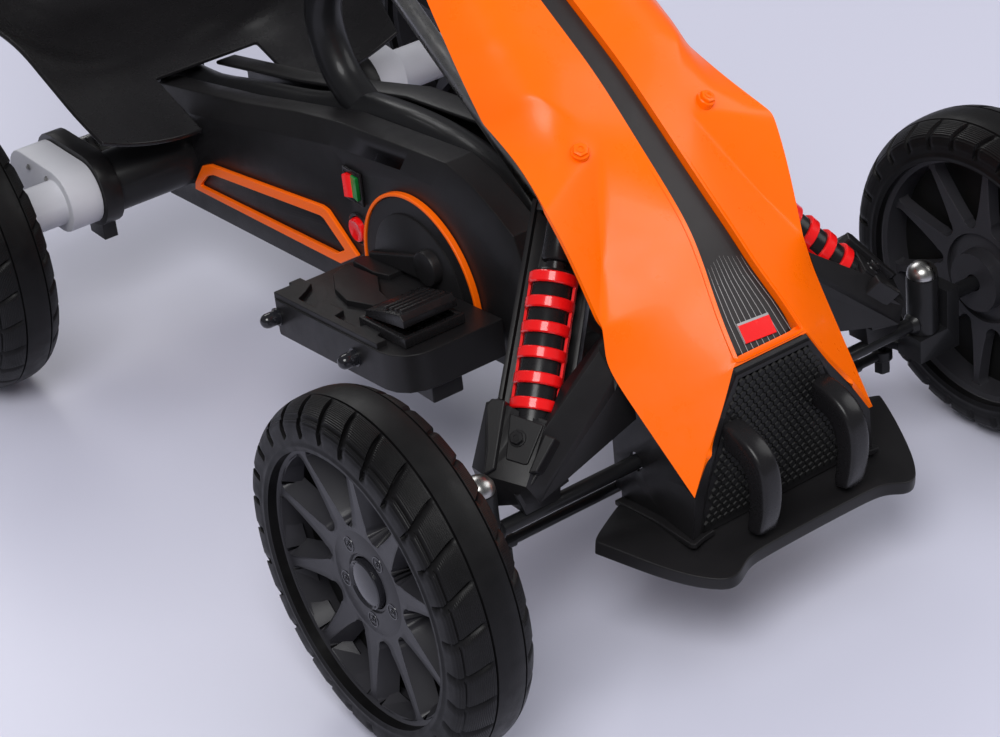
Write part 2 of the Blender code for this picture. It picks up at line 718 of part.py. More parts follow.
def skin(name, points, faces, material, lift, depth, push=None, smooth=30.0):
    """A sheet through points, lifted off by one distance, made solid by a depth or by a straight push."""
    builder = bmesh.new()
    outer = [builder.verts.new(point) for point in points]
    for face in faces:
        builder.faces.new([outer[i] for i in face])
    bmesh.ops.triangulate(builder, faces=[face for face in builder.faces if len(face.verts) > 3])
    builder.normal_update()
    first = inward_offsets(builder, -lift)
    second = inward_offsets(builder, depth - lift)
    edges = [edge for edge in builder.edges if len(edge.link_faces) == 1]
    sheet = list(builder.faces)
    top = {vert: vert.co + first[vert] for vert in outer}
    under = {}
    for vert in outer:
        place = vert.co + second[vert] if push is None else top[vert] + push
        under[vert] = builder.verts.new(place)
    for face in sheet:
        builder.faces.new([under[vert] for vert in reversed(face.verts)])
    for edge in edges:
        a, b = edge.verts
        builder.faces.new((a, b, under[b], under[a]))
    for vert in outer:
        vert.co = top[vert]
    return add_object(name, builder, material, smooth)


def mirrored(points):
    """Both halves of a list of drawn points, with the index of each point's twin."""
    both = [drawn(x, y, z) for x, y, z in points]
    both += [drawn(-x, y, z) for x, y, z in points]
    return both


STRIPE_EDGE = [
    (0.0108, 0.2000, 0.4400),
    (0.0111, 0.1460, 0.4035),
    (0.0112, 0.1180, 0.3848),
    (0.0114, 0.0880, 0.3646),
    (0.0124, 0.0468, 0.3281),
    (0.0132, 0.0057, 0.2929),
    (0.0160, -0.0134, 0.2731),
    (0.0201, -0.0297, 0.2504),
    (0.0250, -0.0463, 0.2317),
    (0.0278, -0.0632, 0.2121),
]
CREST = [
    (0.052, 0.2040, 0.4490),
    (0.056, 0.1480, 0.4125),
    (0.057, 0.1200, 0.3930),
    (0.058, 0.0900, 0.3725),
    (0.0397, 0.0565, 0.3330),
    (0.0534, 0.0410, 0.3022),
    (0.0707, 0.0226, 0.2688),
]
OUTER_EDGE = [
    (0.0700, 0.2120, 0.4250),
    (0.0880, 0.1460, 0.3780),
    (0.0900, 0.1185, 0.3485),
    (0.0915, 0.0840, 0.3350),
    (0.0961, 0.0587, 0.3239),
    (0.1006, 0.0394, 0.3144),
    (0.0967, 0.0220, 0.2870),
    (0.0903, 0.0012, 0.2354),
    (0.0921, -0.0020, 0.2220),
    (0.0940, -0.0050, 0.2080),
    (0.0897, -0.0294, 0.1810),
    (0.0854, -0.0539, 0.1539),
    (0.0817, -0.0748, 0.1307),
]
FANG_EDGE = [
    (0.0283, -0.0633, 0.2114),
    (0.0329, -0.0640, 0.2070),
    (0.0493, -0.0689, 0.1807),
    (0.0663, -0.0721, 0.1572),
]


def fairing_faces(channel):
    """The half sheet's points and faces, from the stripe's edge to the outer edge."""
    deep = [(x, y + STRIPE_DEPTH * 0.69, z - STRIPE_DEPTH * 0.72) for x, y, z in STRIPE_EDGE]
    half = STRIPE_EDGE + CREST + OUTER_EDGE + FANG_EDGE + deep
    s0 = 0
    c0 = len(STRIPE_EDGE)
    e0 = c0 + len(CREST)
    f0 = e0 + len(OUTER_EDGE)
    d0 = f0 + len(FANG_EDGE)
    faces = []
    last = len(CREST) - 1
    for i in range(last):
        faces.append((s0 + i, s0 + i + 1, c0 + i + 1, c0 + i))
        faces.append((c0 + i, c0 + i + 1, e0 + i + 1, e0 + i))
    faces.append((c0 + last, e0 + last + 1, e0 + last))
    faces.append((s0 + last, s0 + last + 1, e0 + last + 1, c0 + last))
    for i in (last + 1, last + 2):
        faces.append((s0 + i, s0 + i + 1, e0 + i + 1, e0 + i))
    bottom = len(STRIPE_EDGE) - 1
    faces.append((s0 + bottom, f0, f0 + 1, e0 + bottom))
    for i in (0, 1):
        faces.append((f0 + 1 + i, f0 + 2 + i, e0 + bottom + 1 + i, e0 + bottom + i))
    faces.append((f0 + 3, e0 + bottom + 3, e0 + bottom + 2))
    count = len(half)
    across = []
    if channel:
        for i in range(bottom):
            faces.append((s0 + i, d0 + i, d0 + i + 1, s0 + i + 1))
            across.append((d0 + i, d0 + i + 1))
        faces.append((s0 + bottom, d0 + bottom, f0))
        across.append((d0 + bottom, f0))
    else:
        half = half[:d0]
        count = len(half)
        for i in range(bottom):
            across.append((s0 + i, s0 + i + 1))
        across.append((s0 + bottom, f0))
    across.append((f0, f0 + 1))
    both = [tuple(face) for face in faces]
    both += [tuple(i + count for i in reversed(face)) for face in faces]
    for a, b in across:
        both.append((a, a + count, b + count, b))
    return mirrored(half), both


def outward(points, faces):
    """Turns the sheet's faces so that their normals point up and forward."""
    turned_faces = []
    for face in faces:
        a, b, c = (points[i] for i in face[:3])
        normal = (b - a).cross(c - a)
        turned_faces.append(face if normal.dot(Vector((0, -0.7, 0.7))) > 0 else tuple(reversed(face)))
    return turned_faces


def under_fairing():
    """A cutter that takes away everything above the fairing's underside."""
    points, faces = fairing_faces(False)
    faces = outward(points, faces)
    lift = -(SHELL + FAIRING_GAP)
    return skin("under_fairing", points, faces, ORANGE, lift, 0, Vector((0, 0, 0.25)))


def front_trim():
    """A cutter that ends the nose's front wall below the fairing's lower edge."""
    drop = FRONT_TRIM_DROP
    line = [(x, z - drop) for x, y, z in FANG_EDGE[1:]]
    line.append((OUTER_EDGE[-1][0], OUTER_EDGE[-1][2] - drop))
    line.append((0.120, OUTER_EDGE[-1][2] - drop))
    outline = [(-x, z) for x, z in reversed(line)] + line + [(0.120, 0.400), (-0.120, 0.400)]
    pairs = [(x, AXLE_Z + z - DRAWN_AXLE_Z) for x, z in outline]
    return prism("front_trim", pairs, "Y", FRONT_AXLE_Y - 0.130, FRONT_AXLE_Y - 0.060, BLACK)


def build_fairing():
    points, faces = fairing_faces(True)
    builder = bmesh.new()
    outer = [builder.verts.new(point) for point in points]
    for face in faces:
        builder.faces.new([outer[i] for i in face])
    bmesh.ops.recalc_face_normals(builder, faces=builder.faces)
    builder.faces.ensure_lookup_table()
    if builder.faces[0].normal.z < 0:
        bmesh.ops.reverse_faces(builder, faces=builder.faces)
    builder.verts.index_update()
    faces = [tuple(vert.index for vert in face.verts) for face in builder.faces]
    builder.free()
    skin("nose_fairing", points, faces, ORANGE, 0, SHELL)
    sink = STRIPE_DEPTH - SEAT_GAP - STRIPE_THICKNESS
    rows = []
    for x, y, z in STRIPE_EDGE:
        for side in (1, -1):
            rows.append(drawn(side * (x - STRIPE_SIDE_GAP), y + sink * 0.69, z - sink * 0.72))
    tail = len(rows) - 2
    lift = (rows[tail - 2] - rows[tail]).normalized() * 0.0008
    rows[tail] = rows[tail] + lift
    rows[tail + 1] = rows[tail + 1] + lift
    strips = [(2 * i, 2 * i + 1, 2 * i + 3, 2 * i + 2) for i in range(len(STRIPE_EDGE) - 1)]
    skin("nose_stripe", rows, outward(rows, strips), STRIPE, 0, STRIPE_THICKNESS)


def splitter_top(y):
    """The height of the splitter's deck, on which the nose body stands."""
    return 0.0917 - 0.134 * (y + 0.0715)


def build_nose():
    wall = SHELL
    front = NOSE_FRONT
    outer = [(0.0715, 0.0270), (0.0745, -0.0300), (0.0832, -0.0716), (0.0690, front)]
    inner = [(0.0715 - wall, 0.0270), (0.0745 - wall, -0.0290), (0.0790, -0.0650), (0.0665, front + wall)]
    outer_top = [(0.0700, 0.0270), (0.0700, -0.0300), (0.0665, -0.0826), (0.0530, front)]
    inner_top = [(0.0700 - wall, 0.0270), (0.0700 - wall, -0.0290), (0.0625, -0.0770), (0.0505, front + wall)]

    def ring(out, inn):
        points = [(x, y) for x, y in out]
        points += [(-x, y) for x, y in reversed(out)]
        points += [(-x, y) for x, y in inn]
        points += [(x, y) for x, y in reversed(inn)]
        return points

    low = [drawn(x, y, splitter_top(y) + SEAT_GAP) for x, y in ring(outer, inner)]
    high = [drawn(x, y, 0.300) for x, y in ring(outer_top, inner_top)]
    levels = 7
    sections = []
    for k in range(levels):
        share = k / (levels - 1)
        sections.append([a.lerp(b, share) for a, b in zip(low, high)])
    body = loft("nose_body", sections, BLACK)
    tools = [under_fairing(), front_trim(), tie_rod_room()]
    grille = grille_outline(SEAT_GAP)
    tools.append(prism("opening", grille, "Y", FRONT_AXLE_Y + NOSE_FRONT - 0.02,
                       FRONT_AXLE_Y + NOSE_FRONT + 0.02, BLACK))
    reach = 0.12
    tools.append(rod("beam_hole", at(-reach, 0, BEAM_H), at(reach, 0, BEAM_H), BEAM_RADIUS + CLEAR_GAP, BLACK, 16))
    cut(body, tools)
    face = FRONT_AXLE_Y + front
    prism("grille", grille_outline(0), "Y", face, face + wall, BLACK)
    for side in (-1, 1):
        build_bull_bar(side)
    build_splitter()


def grille_outline(grow):
    """The grille as (x, z) pairs, grown by a gap."""
    top = DRAWN_AXLE_Z
    pairs = [(0.031, 0.1985), (0.0640, 0.1010)]
    points = [(pairs[0][0] + grow, pairs[0][1] + grow), (pairs[1][0] + grow, pairs[1][1] - grow)]
    points += [(-x, z) for x, z in reversed(points)]
    return [(x, AXLE_Z + z - top) for x, z in points]


def build_bull_bar(side):
    """A flat-topped hoop from the splitter's front edge back to the grille."""
    back = NOSE_FRONT - SEAT_GAP
    outline = [
        (-0.1015, splitter_top(-0.1015) - 0.0022),
        (-0.1085, 0.1150),
        (-0.1095, 0.1400),
        (-0.1040, 0.1550),
        (-0.0920, 0.1645),
        (back, 0.1690),
        (back, 0.1500),
        (-0.0800, 0.1475),
        (-0.0885, 0.1380),
        (-0.0905, 0.1200),
        (-0.0880, 0.1040),
        (-0.0850, splitter_top(-0.0850) + 0.0004),
    ]
    pairs = [(FRONT_AXLE_Y + y, AXLE_Z + z - DRAWN_AXLE_Z) for y, z in outline]
    inner = side * (BULL_BAR_X - BULL_BAR_WIDTH / 2)
    outer = side * (BULL_BAR_X + BULL_BAR_WIDTH / 2)
    return prism(f"bull_bar_{sided(side)}", pairs, "X", min(inner, outer), max(inner, outer), BLACK, 40.0)


def build_splitter():
    points = [
        (0.046, -0.102, 0.0890), (0.060, -0.107, 0.0890), (0.075, -0.1117, 0.0875), (0.0845, -0.112, 0.0850),
        (0.099, -0.0986, 0.0860), (0.115, -0.070, 0.0905), (0.125, -0.0485, 0.0960), (0.133, -0.028, 0.0980),
        (0.0745, 0.0300, splitter_top(0.030)),
        (0.0700, -0.0710, splitter_top(-0.071)), (0.0860, -0.0760, splitter_top(-0.076)),
        (0.0780, -0.0300, splitter_top(-0.030)), (0.0745, 0.0270, splitter_top(0.027)),
        (0.0660, 0.0270, splitter_top(0.027)), (0.0660, -0.0300, splitter_top(-0.030)),
    ]
    count = len(points)
    half = [(0, 9, 10, 1), (1, 10, 2), (2, 10, 3), (3, 10, 4), (4, 10, 5), (5, 10, 11), (5, 11, 6), (6, 11, 7),
            (7, 11, 12, 8), (9, 14, 11, 10), (14, 13, 12, 11)]
    faces = [tuple(face) for face in half]
    faces += [tuple(i + count for i in face) for face in half]
    faces.append((0, count, count + 9, 9))
    faces.append((9, count + 9, count + 14, 14))
    both = mirrored(points)
    upward = []
    for face in faces:
        a, b, c = (both[i] for i in face[:3])
        upward.append(face if (b - a).cross(c - a).z > 0 else tuple(reversed(face)))
    splitter = skin("splitter", both, upward, BLACK, 0, 0, Vector((0, 0, -SPLITTER_THICKNESS)))
    cut(splitter, [tie_rod_room()])


def shock_place(side, along, across, out):
    """A place beside the shock: along its axis from the lower end, across it and out from the trough."""
    start = Vector((0.1475, 0.0150, 0.1720))
    axis = Vector((-0.56, 0.385, 0.73)).normalized()
    wide = axis.cross(Vector((0, 0, 1))).normalized()
    face = wide.cross(axis).normalized()
    if face.z < 0:
        face = -face
    place = start + axis * along + wide * across + face * out
    return drawn(side * place.x, place.y, place.z)


def build_shock(side):
    """A closed cylinder with its upper tube, inside a cage of six rings joined by ribs."""
    def axis_point(along):
        return shock_place(side, along, 0, 0)
    body = turned(f"shock_{sided(side)}", [
        (0, 0), (0, SHOCK_RADIUS), (SHOCK_BODY, SHOCK_RADIUS), (SHOCK_BODY + 0.002, SHOCK_NECK),
        (SHOCK_BODY + 0.006, SHOCK_NECK), (SHOCK_BODY + 0.008, SHOCK_ROD), (SHOCK_LENGTH, SHOCK_ROD),
        (SHOCK_LENGTH, 0)],
        axis_point(0), axis_point(1) - axis_point(0), BLACK, SHOCK_SIDES)
    inner = SHOCK_RADIUS + SEAT_GAP
    rings = []
    for k in range(SHOCK_RINGS):
        middle = SHOCK_FIRST_RING + k * SHOCK_PITCH
        low = axis_point(middle - SHOCK_RING_HEIGHT / 2)
        rings.append(turned("ring", [(0, inner), (0, SHOCK_RING_RADIUS), (SHOCK_RING_HEIGHT, SHOCK_RING_RADIUS),
                                     (SHOCK_RING_HEIGHT, inner)], low, axis_point(1) - low, RED, SHOCK_SIDES))
    cage = rings[0]
    cage.name = f"shock_cage_{sided(side)}"
    ribs = []
    low = SHOCK_FIRST_RING
    high = SHOCK_FIRST_RING + (SHOCK_RINGS - 1) * SHOCK_PITCH
    for way in (-1, 1):
        sections = []
        for along in (low, high):
            near = way * (inner + 0.0004)
            far = way * (SHOCK_RING_RADIUS - 0.0003)
            sections.append([shock_place(side, along, near, -0.0020), shock_place(side, along, far, -0.0020),
                             shock_place(side, along, far, 0.0016), shock_place(side, along, near, 0.0016)])
        ribs.append(loft("rib", sections, RED))
    join(cage, rings[1:] + ribs)
    return body


def arm_points(side, points):
    return [drawn(side * x, y, z) for x, y, z in points]


def build_axle_cover(side):
    """The moulding between the nose and the wheel: a housing over the axle, a leg and the shock's trough."""
    def local(along, across, out):
        return shock_place(side, along, across, out)
    housing = hull(f"axle_cover_{sided(side)}", arm_points(side, [
        (0.1457, -0.0006, 0.1851), (0.1567, 0.0284, 0.1930), (0.1643, 0.0397, 0.1931), (0.1500, 0.0450, 0.1880),
        (0.1885, 0.0151, 0.1568), (0.1860, 0.0330, 0.1540), (0.1739, -0.0120, 0.1532), (0.1660, -0.0150, 0.1380),
        (0.1850, 0.0150, 0.1300), (0.1800, 0.0330, 0.1300), (0.1400, 0.0420, 0.1400), (0.1400, -0.0140, 0.1430),
        (0.1360, 0.0100, 0.1730),
    ]), BLACK)
    rest = DRAWN_AXLE_Z + BEAM_H + BEAM_RADIUS + SEAT_GAP
    foot = hull("foot", arm_points(side, [
        (0.178, -0.006, 0.145), (0.178, 0.014, 0.145), (0.172, -0.006, rest), (0.172, 0.014, rest),
        (0.140, -0.006, 0.150), (0.140, 0.014, 0.150), (0.143, -0.006, rest), (0.143, 0.014, rest),
    ]), BLACK)
    wall_x = 0.0780
    leg = hull("leg", arm_points(side, [
        (0.1500, -0.0020, 0.1800), (0.1660, -0.0150, 0.1380), (0.1500, 0.0130, 0.1780), (0.1600, 0.0000, 0.1380),
        (wall_x, -0.0090, 0.2150), (wall_x, -0.0120, 0.1640), (wall_x, 0.0050, 0.2150), (wall_x, 0.0050, 0.1640),
        (0.0850, 0.0010, 0.2270), (0.0850, 0.0080, 0.2270),
    ]), BLACK)
    back = -SHOCK_RING_RADIUS - SEAT_GAP
    deep = back - TROUGH_WALL
    outline = [(-0.004, -0.020), (TROUGH_END, -0.020), (TROUGH_END, 0.026), (0.020, 0.031), (-0.004, 0.030)]
    trough = loft("trough", [[local(u, v, deep) for u, v in outline], [local(u, v, back) for u, v in outline]], BLACK)
    lips = []
    for start, across in ((0.000, 0.0285), (0.030, -0.0215)):
        sections = []
        for along in (start, TROUGH_END):
            taper = 0.0035 * (along / TROUGH_END) if across > 0 else 0
            low = across - taper
            sections.append([local(along, low, deep + 0.0005), local(along, low + 0.003, deep + 0.0005),
                             local(along, low + 0.003, back + 0.006), local(along, low, back + 0.006)])
        lips.append(loft("lip", sections, BLACK))
    block_low = SHOCK_LENGTH - 0.008
    corners = [(-0.0155, back - 0.002), (0.0155, back - 0.002), (0.0155, 0.0130), (-0.0155, 0.0130)]
    block = loft("block", [[local(u, v, w) for v, w in corners] for u in (block_low, SHOCK_LENGTH + 0.008)], BLACK)
    top = local(SHOCK_LENGTH + 0.002, 0, 0.004)
    post = rod("post", top, drawn(side * 0.0556, 0.0530, 0.345), 0.0060, BLACK, 16)
    cover = join(housing, [foot, leg, trough, *lips, block, post])
    beside = under_fairing()
    beside.location = (side * SHELL, SHELL, -CLEAR_GAP)
    tools = [under_fairing(), beside]
    tools.append(rod("shock_room", local(-SEAT_GAP, 0, 0), local(SHOCK_LENGTH + SEAT_GAP, 0, 0),
                     SHOCK_RADIUS + 4 * SEAT_GAP, BLACK, SHOCK_SIDES))
    low = SHOCK_FIRST_RING - SHOCK_RING_HEIGHT / 2 - SEAT_GAP
    tools.append(rod("cage_room", local(low, 0, 0), local(SHOCK_BODY + 0.004, 0, 0),
                     SHOCK_RING_RADIUS + 4 * SEAT_GAP, BLACK, SHOCK_SIDES))
    return cut(cover, tools)


def console_line(points, x, side):
    return [drawn(side * x, y, z) for y, z in points]


CONSOLE_CREASE = [
    (0.168, 0.1130), (0.170, 0.1850), (0.190, 0.2070), (0.211, 0.2220), (0.235, 0.2330), (0.259, 0.2380),
    (0.299, 0.2370), (0.400, 0.2250), (0.480, 0.2090), (0.560, 0.1920), (0.700, 0.1670),
]
CONSOLE_RIDGE = [
    (0.148, 0.1143), (0.148, 0.1910), (0.1635, 0.2280), (0.185, 0.2400), (0.212, 0.2530), (0.243, 0.2605),
    (0.290, 0.2565), (0.390, 0.2465), (0.465, 0.2305), (0.558, 0.2095), (0.705, 0.1830),
]


def console_floor(y):
    """The height of the console's bottom."""
    return 0.0970 - 0.0640 * (y - 0.408)


def build_console(side):
    """One half of the console: side panel, slanting shoulder, top beside the spine tube, and floor."""
    count = len(CONSOLE_CREASE)
    points = console_line(CONSOLE_CREASE, CONSOLE_HALF, side)
    for i, (y, z) in enumerate(CONSOLE_RIDGE):
        x = CONSOLE_RIDGE_FRONT if i < 8 else CONSOLE_RIDGE_HALF
        points.append(drawn(side * x, y, z))
    slot = SPINE_RADIUS + CLEAR_GAP
    points += console_line(CONSOLE_RIDGE, slot, side)
    floor = [(0.700, console_floor(0.700)), (0.408, console_floor(0.408))]
    points += console_line(floor, CONSOLE_HALF, side)
    middle = [(0.700, console_floor(0.700)), (0.408, console_floor(0.408)), (0.168, 0.1130), (0.148, 0.1143)]
    points += console_line(middle, CLEAR_GAP / 4, side)
    a = 3 * count
    faces = [tuple(range(count)) + (a, a + 1)]
    for i in range(count - 1):
        faces.append((i, count + i, count + i + 1, i + 1))
        faces.append((count + i, 2 * count + i, 2 * count + i + 1, count + i + 1))
    faces.append((a, a + 2, a + 3, a + 1))
    faces.append((a + 1, a + 3, a + 4, 0))
    faces.append((0, a + 4, a + 5, 2 * count, count))
    if side > 0:
        faces = [tuple(reversed(face)) for face in faces]
    shell = skin(f"console_{sided(side)}", points, faces, BLACK, 0, CONSOLE_WALL)
    tools = [rod("axle_hole", at(0, REAR_AXLE, 0), at(side * 0.1, REAR_AXLE, 0), AXLE_TUBE_RADIUS + SEAT_GAP,
                 BLACK, 24)]
    if side < 0:
        tools.append(box("rocker_hole", drawn(-CONSOLE_HALF, *ROCKER_PLACE),
                         (0.02, ROCKER_BODY_Y + 2 * SEAT_GAP, ROCKER_BODY_Z + 2 * SEAT_GAP), BLACK))
        place = drawn(-CONSOLE_HALF, *BUTTON_PLACE)
        reach = Vector((0.01, 0, 0))
        tools.append(rod("button_hole", place - reach, place + reach, BUTTON_RADIUS + RUNNING_GAP, BLACK, 20))
    return cut(shell, tools)


def arc_points(radius, start, end, steps):
    """Points of an arc in the (y, z) plane round the side disc's centre."""
    points = []
    for k in range(steps + 1):
        turn = start + (end - start) * k / steps
        points.append((DISC_Y + radius * math.cos(turn), DISC_Z + radius * math.sin(turn)))
    return points


def side_prism(name, outline, side, low, high, material, smooth=30.0):
    """A prism along X from drawn (y, z) pairs, its two distances measured from the middle plane."""
    pairs = [(FRONT_AXLE_Y + y, AXLE_Z + z - DRAWN_AXLE_Z) for y, z in outline]
    near, far = sorted((side * low, side * high))
    return prism(name, pairs, "X", near, far, material, smooth)


def build_side_dress(side):
    """The round disc with its boss, the orange ring round it and the orange trim behind it."""
    face = CONSOLE_HALF + SEAT_GAP
    drop = math.asin((DISC_Z - DISC_CUT_Z) / RING_RADIUS)
    disc_radius = RING_RADIUS - RING_WIDTH - SEAT_GAP
    disc_drop = math.asin((DISC_Z - DISC_CUT_Z) / disc_radius)
    outline = arc_points(disc_radius, -disc_drop, math.pi + disc_drop, 22)
    disc = side_prism(f"side_disc_{sided(side)}", outline, side, face, face + DISC_THICKNESS, BLACK)
    boss = rod("boss", drawn(side * (face + 0.002), BOSS_Y, BOSS_Z), drawn(side * BOSS_END, BOSS_Y, BOSS_Z),
               BOSS_RADIUS, BLACK, 24)
    rear = BOSS_Y + 0.084
    rib = [(BOSS_Y, BOSS_Z + 0.011), (BOSS_Y + 0.024, BOSS_Z + 0.003), (rear, platform_top(rear) + 0.009),
           (rear, platform_top(rear) + 0.003), (BOSS_Y, platform_top(BOSS_Y) + 0.005)]
    join(disc, [boss, side_prism("rib", rib, side, face + 0.002, BOSS_END - 0.004, BLACK)])
    band = arc_points(RING_RADIUS, -drop, math.pi + drop, 22)
    band += list(reversed(arc_points(RING_RADIUS - RING_WIDTH, -drop, math.pi + drop, 22)))
    side_prism(f"disc_ring_{sided(side)}", band, side, face, face + RING_HEIGHT, ORANGE)
    outer = [(0.641, 0.1040), (0.6385, 0.1120), (0.620, 0.1340), (0.605, 0.1400), (0.4215, 0.1650), (0.413, 0.1640),
             (0.374, 0.1360), (0.403, 0.1185)]
    inner = [(0.630, 0.1110), (0.6285, 0.1145), (0.615, 0.1275), (0.603, 0.1325), (0.4235, 0.1565), (0.418, 0.1555),
             (0.392, 0.1365), (0.4055, 0.1275)]
    trim = side_prism(f"side_trim_{sided(side)}", outer, side, face, face + TRIM_HEIGHT, ORANGE)
    cut(trim, [side_prism("inside", inner, side, face - 0.01, face + 0.02, ORANGE)])


def build_switches():
    """The rocker switch with its frame, and the push button, both in the right side panel."""
    face = -CONSOLE_HALF
    y, z = ROCKER_PLACE
    frame = box("rocker_bezel", drawn(face - SEAT_GAP - BEZEL_HEIGHT / 2, y, z), (BEZEL_HEIGHT, BEZEL_Y, BEZEL_Z), BLACK)
    body_deep = 0.016
    start = face - SEAT_GAP - 0.0005
    body = box("body", drawn(start + body_deep / 2, y, z), (body_deep, ROCKER_BODY_Y, ROCKER_BODY_Z), BLACK)
    join(frame, [body])
    window_deep = 0.012
    cut(frame, [box("window", drawn(face - 0.006 + window_deep / 2, y, z),
                    (window_deep, ROCKER_Y + 2 * WINDOW_GAP, ROCKER_Z + 2 * SEAT_GAP), BLACK)])
    half = ROCKER_Y / 2
    pivot = drawn(face - 0.0005, y, z)
    outline = [(-0.0055, half - 0.0004), (-0.0028, 0.0), (-0.0055, -half + 0.0004), (0.0020, -half + 0.0012),
               (0.0035, 0.0), (0.0020, half - 0.0012)]
    turn = math.radians(ROCKER_TILT)
    sections = []
    for across in (-ROCKER_Z / 2, ROCKER_Z / 2):
        section = []
        for u, w in outline:
            turned_u = u * math.cos(turn) - w * math.sin(turn)
            turned_w = u * math.sin(turn) + w * math.cos(turn)
            section.append(pivot + Vector((turned_u, turned_w, across)))
        sections.append(section)
    loft("rocker_switch", sections, RED)
    centre = drawn(face, *BUTTON_PLACE)
    out = (-1, 0, 0)
    turned("power_button", [(-0.008, 0), (-0.008, BUTTON_RADIUS), (0.004, BUTTON_RADIUS), (0.0052, BUTTON_RADIUS - 0.0015),
                            (0.0045, BUTTON_RADIUS * 0.5), (0.0042, 0)], centre, out, RED, 24)


def platform_top(y):
    """The height of a foot platform's top."""
    return 0.1605 - 0.0895 * (y - 0.178)


def platform_ring(side, outline, drop):
    return [drawn(side * x, y, platform_top(y) - drop) for x, y in outline]


def build_platform(side):
    """An open-bottomed tread with slots and two domed nuts on its edge."""
    inner = CONSOLE_HALF + RING_HEIGHT + 2 * SEAT_GAP
    outer = PLATFORM_OUTER
    front = PLATFORM_FRONT
    rear = PLATFORM_REAR
    outline = [(inner, front), (outer - 0.026, front), (outer - 0.010, front + 0.007), (outer, front + 0.024),
               (outer, rear - 0.006), (outer - 0.006, rear), (inner + 0.014, rear), (inner, rear - 0.014)]
    wall = PLATFORM_WALL
    room = [(inner + wall, front + wall), (outer - 0.027, front + wall), (outer - 0.012, front + 0.0095),
            (outer - wall, front + 0.025), (outer - wall, rear - 0.0075), (outer - 0.0075, rear - wall),
            (inner + 0.0155, rear - wall), (inner + wall, rear - 0.0155)]
    tread = loft(f"foot_platform_{sided(side)}",
                 [platform_ring(side, outline, PLATFORM_HEIGHT), platform_ring(side, outline, 0)], BLACK)
    tools = [loft("room", [platform_ring(side, room, PLATFORM_HEIGHT + 0.01), platform_ring(side, room, wall)], BLACK)]
    for y in (0.232, 0.276, 0.320):
        slot = [(outer - 0.020, y - 0.010), (outer - 0.010, y - 0.010), (outer - 0.010, y + 0.010),
                (outer - 0.020, y + 0.010)]
        tools.append(loft("slot", [platform_ring(side, slot, 0.006), platform_ring(side, slot, -0.004)], BLACK))
    for corners in (((0.078, 0.336), (0.098, 0.336), (0.098, 0.300)), ((0.098, 0.290), (0.098, 0.262), (0.082, 0.262))):
        tools.append(loft("pocket", [platform_ring(side, corners, 0.006), platform_ring(side, corners, -0.004)], BLACK))
    cut(tread, tools)
    nuts = []
    for y in (0.230, 0.349):
        z = platform_top(y) - PLATFORM_HEIGHT * 0.5
        place = drawn(side * (outer - 0.001), y, z)
        nuts.append(rod("nut", place, place + Vector((side * 0.0055, 0, 0)), 0.0062, BLACK, 6))
        dome = [(0.004, 0), (0.004, 0.0052), (0.0075, 0.0050), (0.0100, 0.0032), (0.0110, 0)]
        nuts.append(turned("dome", dome, place, (side, 0, 0), BLACK, 12))
    return join(tread, nuts)


def build_pedal():
    """The accelerator: a ribbed cap hinged at its rear edge over a low base on the right platform."""
    left, right = PEDAL_X
    front, rear = PEDAL_Y
    grow = 0.003
    outline = [(left - grow, front - grow), (right + grow, front - grow), (right + grow, rear + grow),
               (left - grow, rear + grow)]
    base = loft("pedal_base", [platform_ring(-1, outline, -SEAT_GAP), platform_ring(-1, outline, -PEDAL_BASE)],
                GLOSS_BLACK)
    room = [(left + 0.002, front + 0.002), (right - 0.002, front + 0.002), (right - 0.002, rear - 0.002),
            (left + 0.002, rear - 0.002)]
    cut(base, [loft("room", [platform_ring(-1, room, -0.003), platform_ring(-1, room, -PEDAL_BASE - 0.01)], BLACK)])
    top_front = (front + 0.006, PEDAL_BASE + PEDAL_OPEN + 0.0100)
    top_rear = (rear - 0.020, PEDAL_BASE + 0.0110)
    sections = []
    for x in (left, right):
        sections.append([
            pedal_point(x, front + 0.001, PEDAL_BASE + PEDAL_OPEN),
            pedal_point(x, rear - 0.001, PEDAL_BASE + 0.0006),
            pedal_point(x, rear - 0.004, PEDAL_BASE + 0.0070),
            pedal_point(x, *top_rear),
            pedal_point(x, *top_front),
            pedal_point(x, front + 0.001, PEDAL_BASE + PEDAL_OPEN + 0.0060),
        ])
    cap = loft("accelerator_pedal", sections, GLOSS_BLACK)
    ribs = []
    for k in range(4):
        y = top_front[0] + 0.002 + k * 0.007
        share = (y + 0.002 - top_front[0]) / (top_rear[0] - top_front[0])
        lift = top_front[1] + (top_rear[1] - top_front[1]) * share
        corners = []
        for x in (left + 0.004, right - 0.004):
            corners.append([pedal_point(x, y, lift - 0.002), pedal_point(x, y + 0.004, lift - 0.002),
                            pedal_point(x, y + 0.0035, lift + 0.0022), pedal_point(x, y + 0.0005, lift + 0.0022)])
        ribs.append(loft("rib", corners, GLOSS_BLACK))
    join(cap, ribs)


def pedal_point(x, y, lift):
    return drawn(-x, y, platform_top(y) + lift)


SEAT_PROFILE = [
    (0.3145, 0.1720, 0.150, 0.027), (0.2795, 0.1840, 0.156, 0.036),
    (0.2405, 0.1975, 0.160, 0.046), (0.2025, SEAT_FLOOR, 0.161, 0.053),
    (0.1445, SEAT_FLOOR, 0.161, 0.060), (0.0945, 0.2160, 0.160, 0.064),
    (0.0605, 0.2450, 0.158, 0.066), (0.0405, 0.3000, 0.155, 0.064),
    (0.0265, 0.3700, 0.152, 0.058), (0.0155, 0.4500, 0.144, 0.046),
    (0.0075, 0.5200, 0.128, 0.028), (0.0045, 0.5600, 0.104, 0.012),
]
SEAT_COLUMNS = (1.0, 0.82, 0.60)
SEAT_NOTCH_ROWS = 2


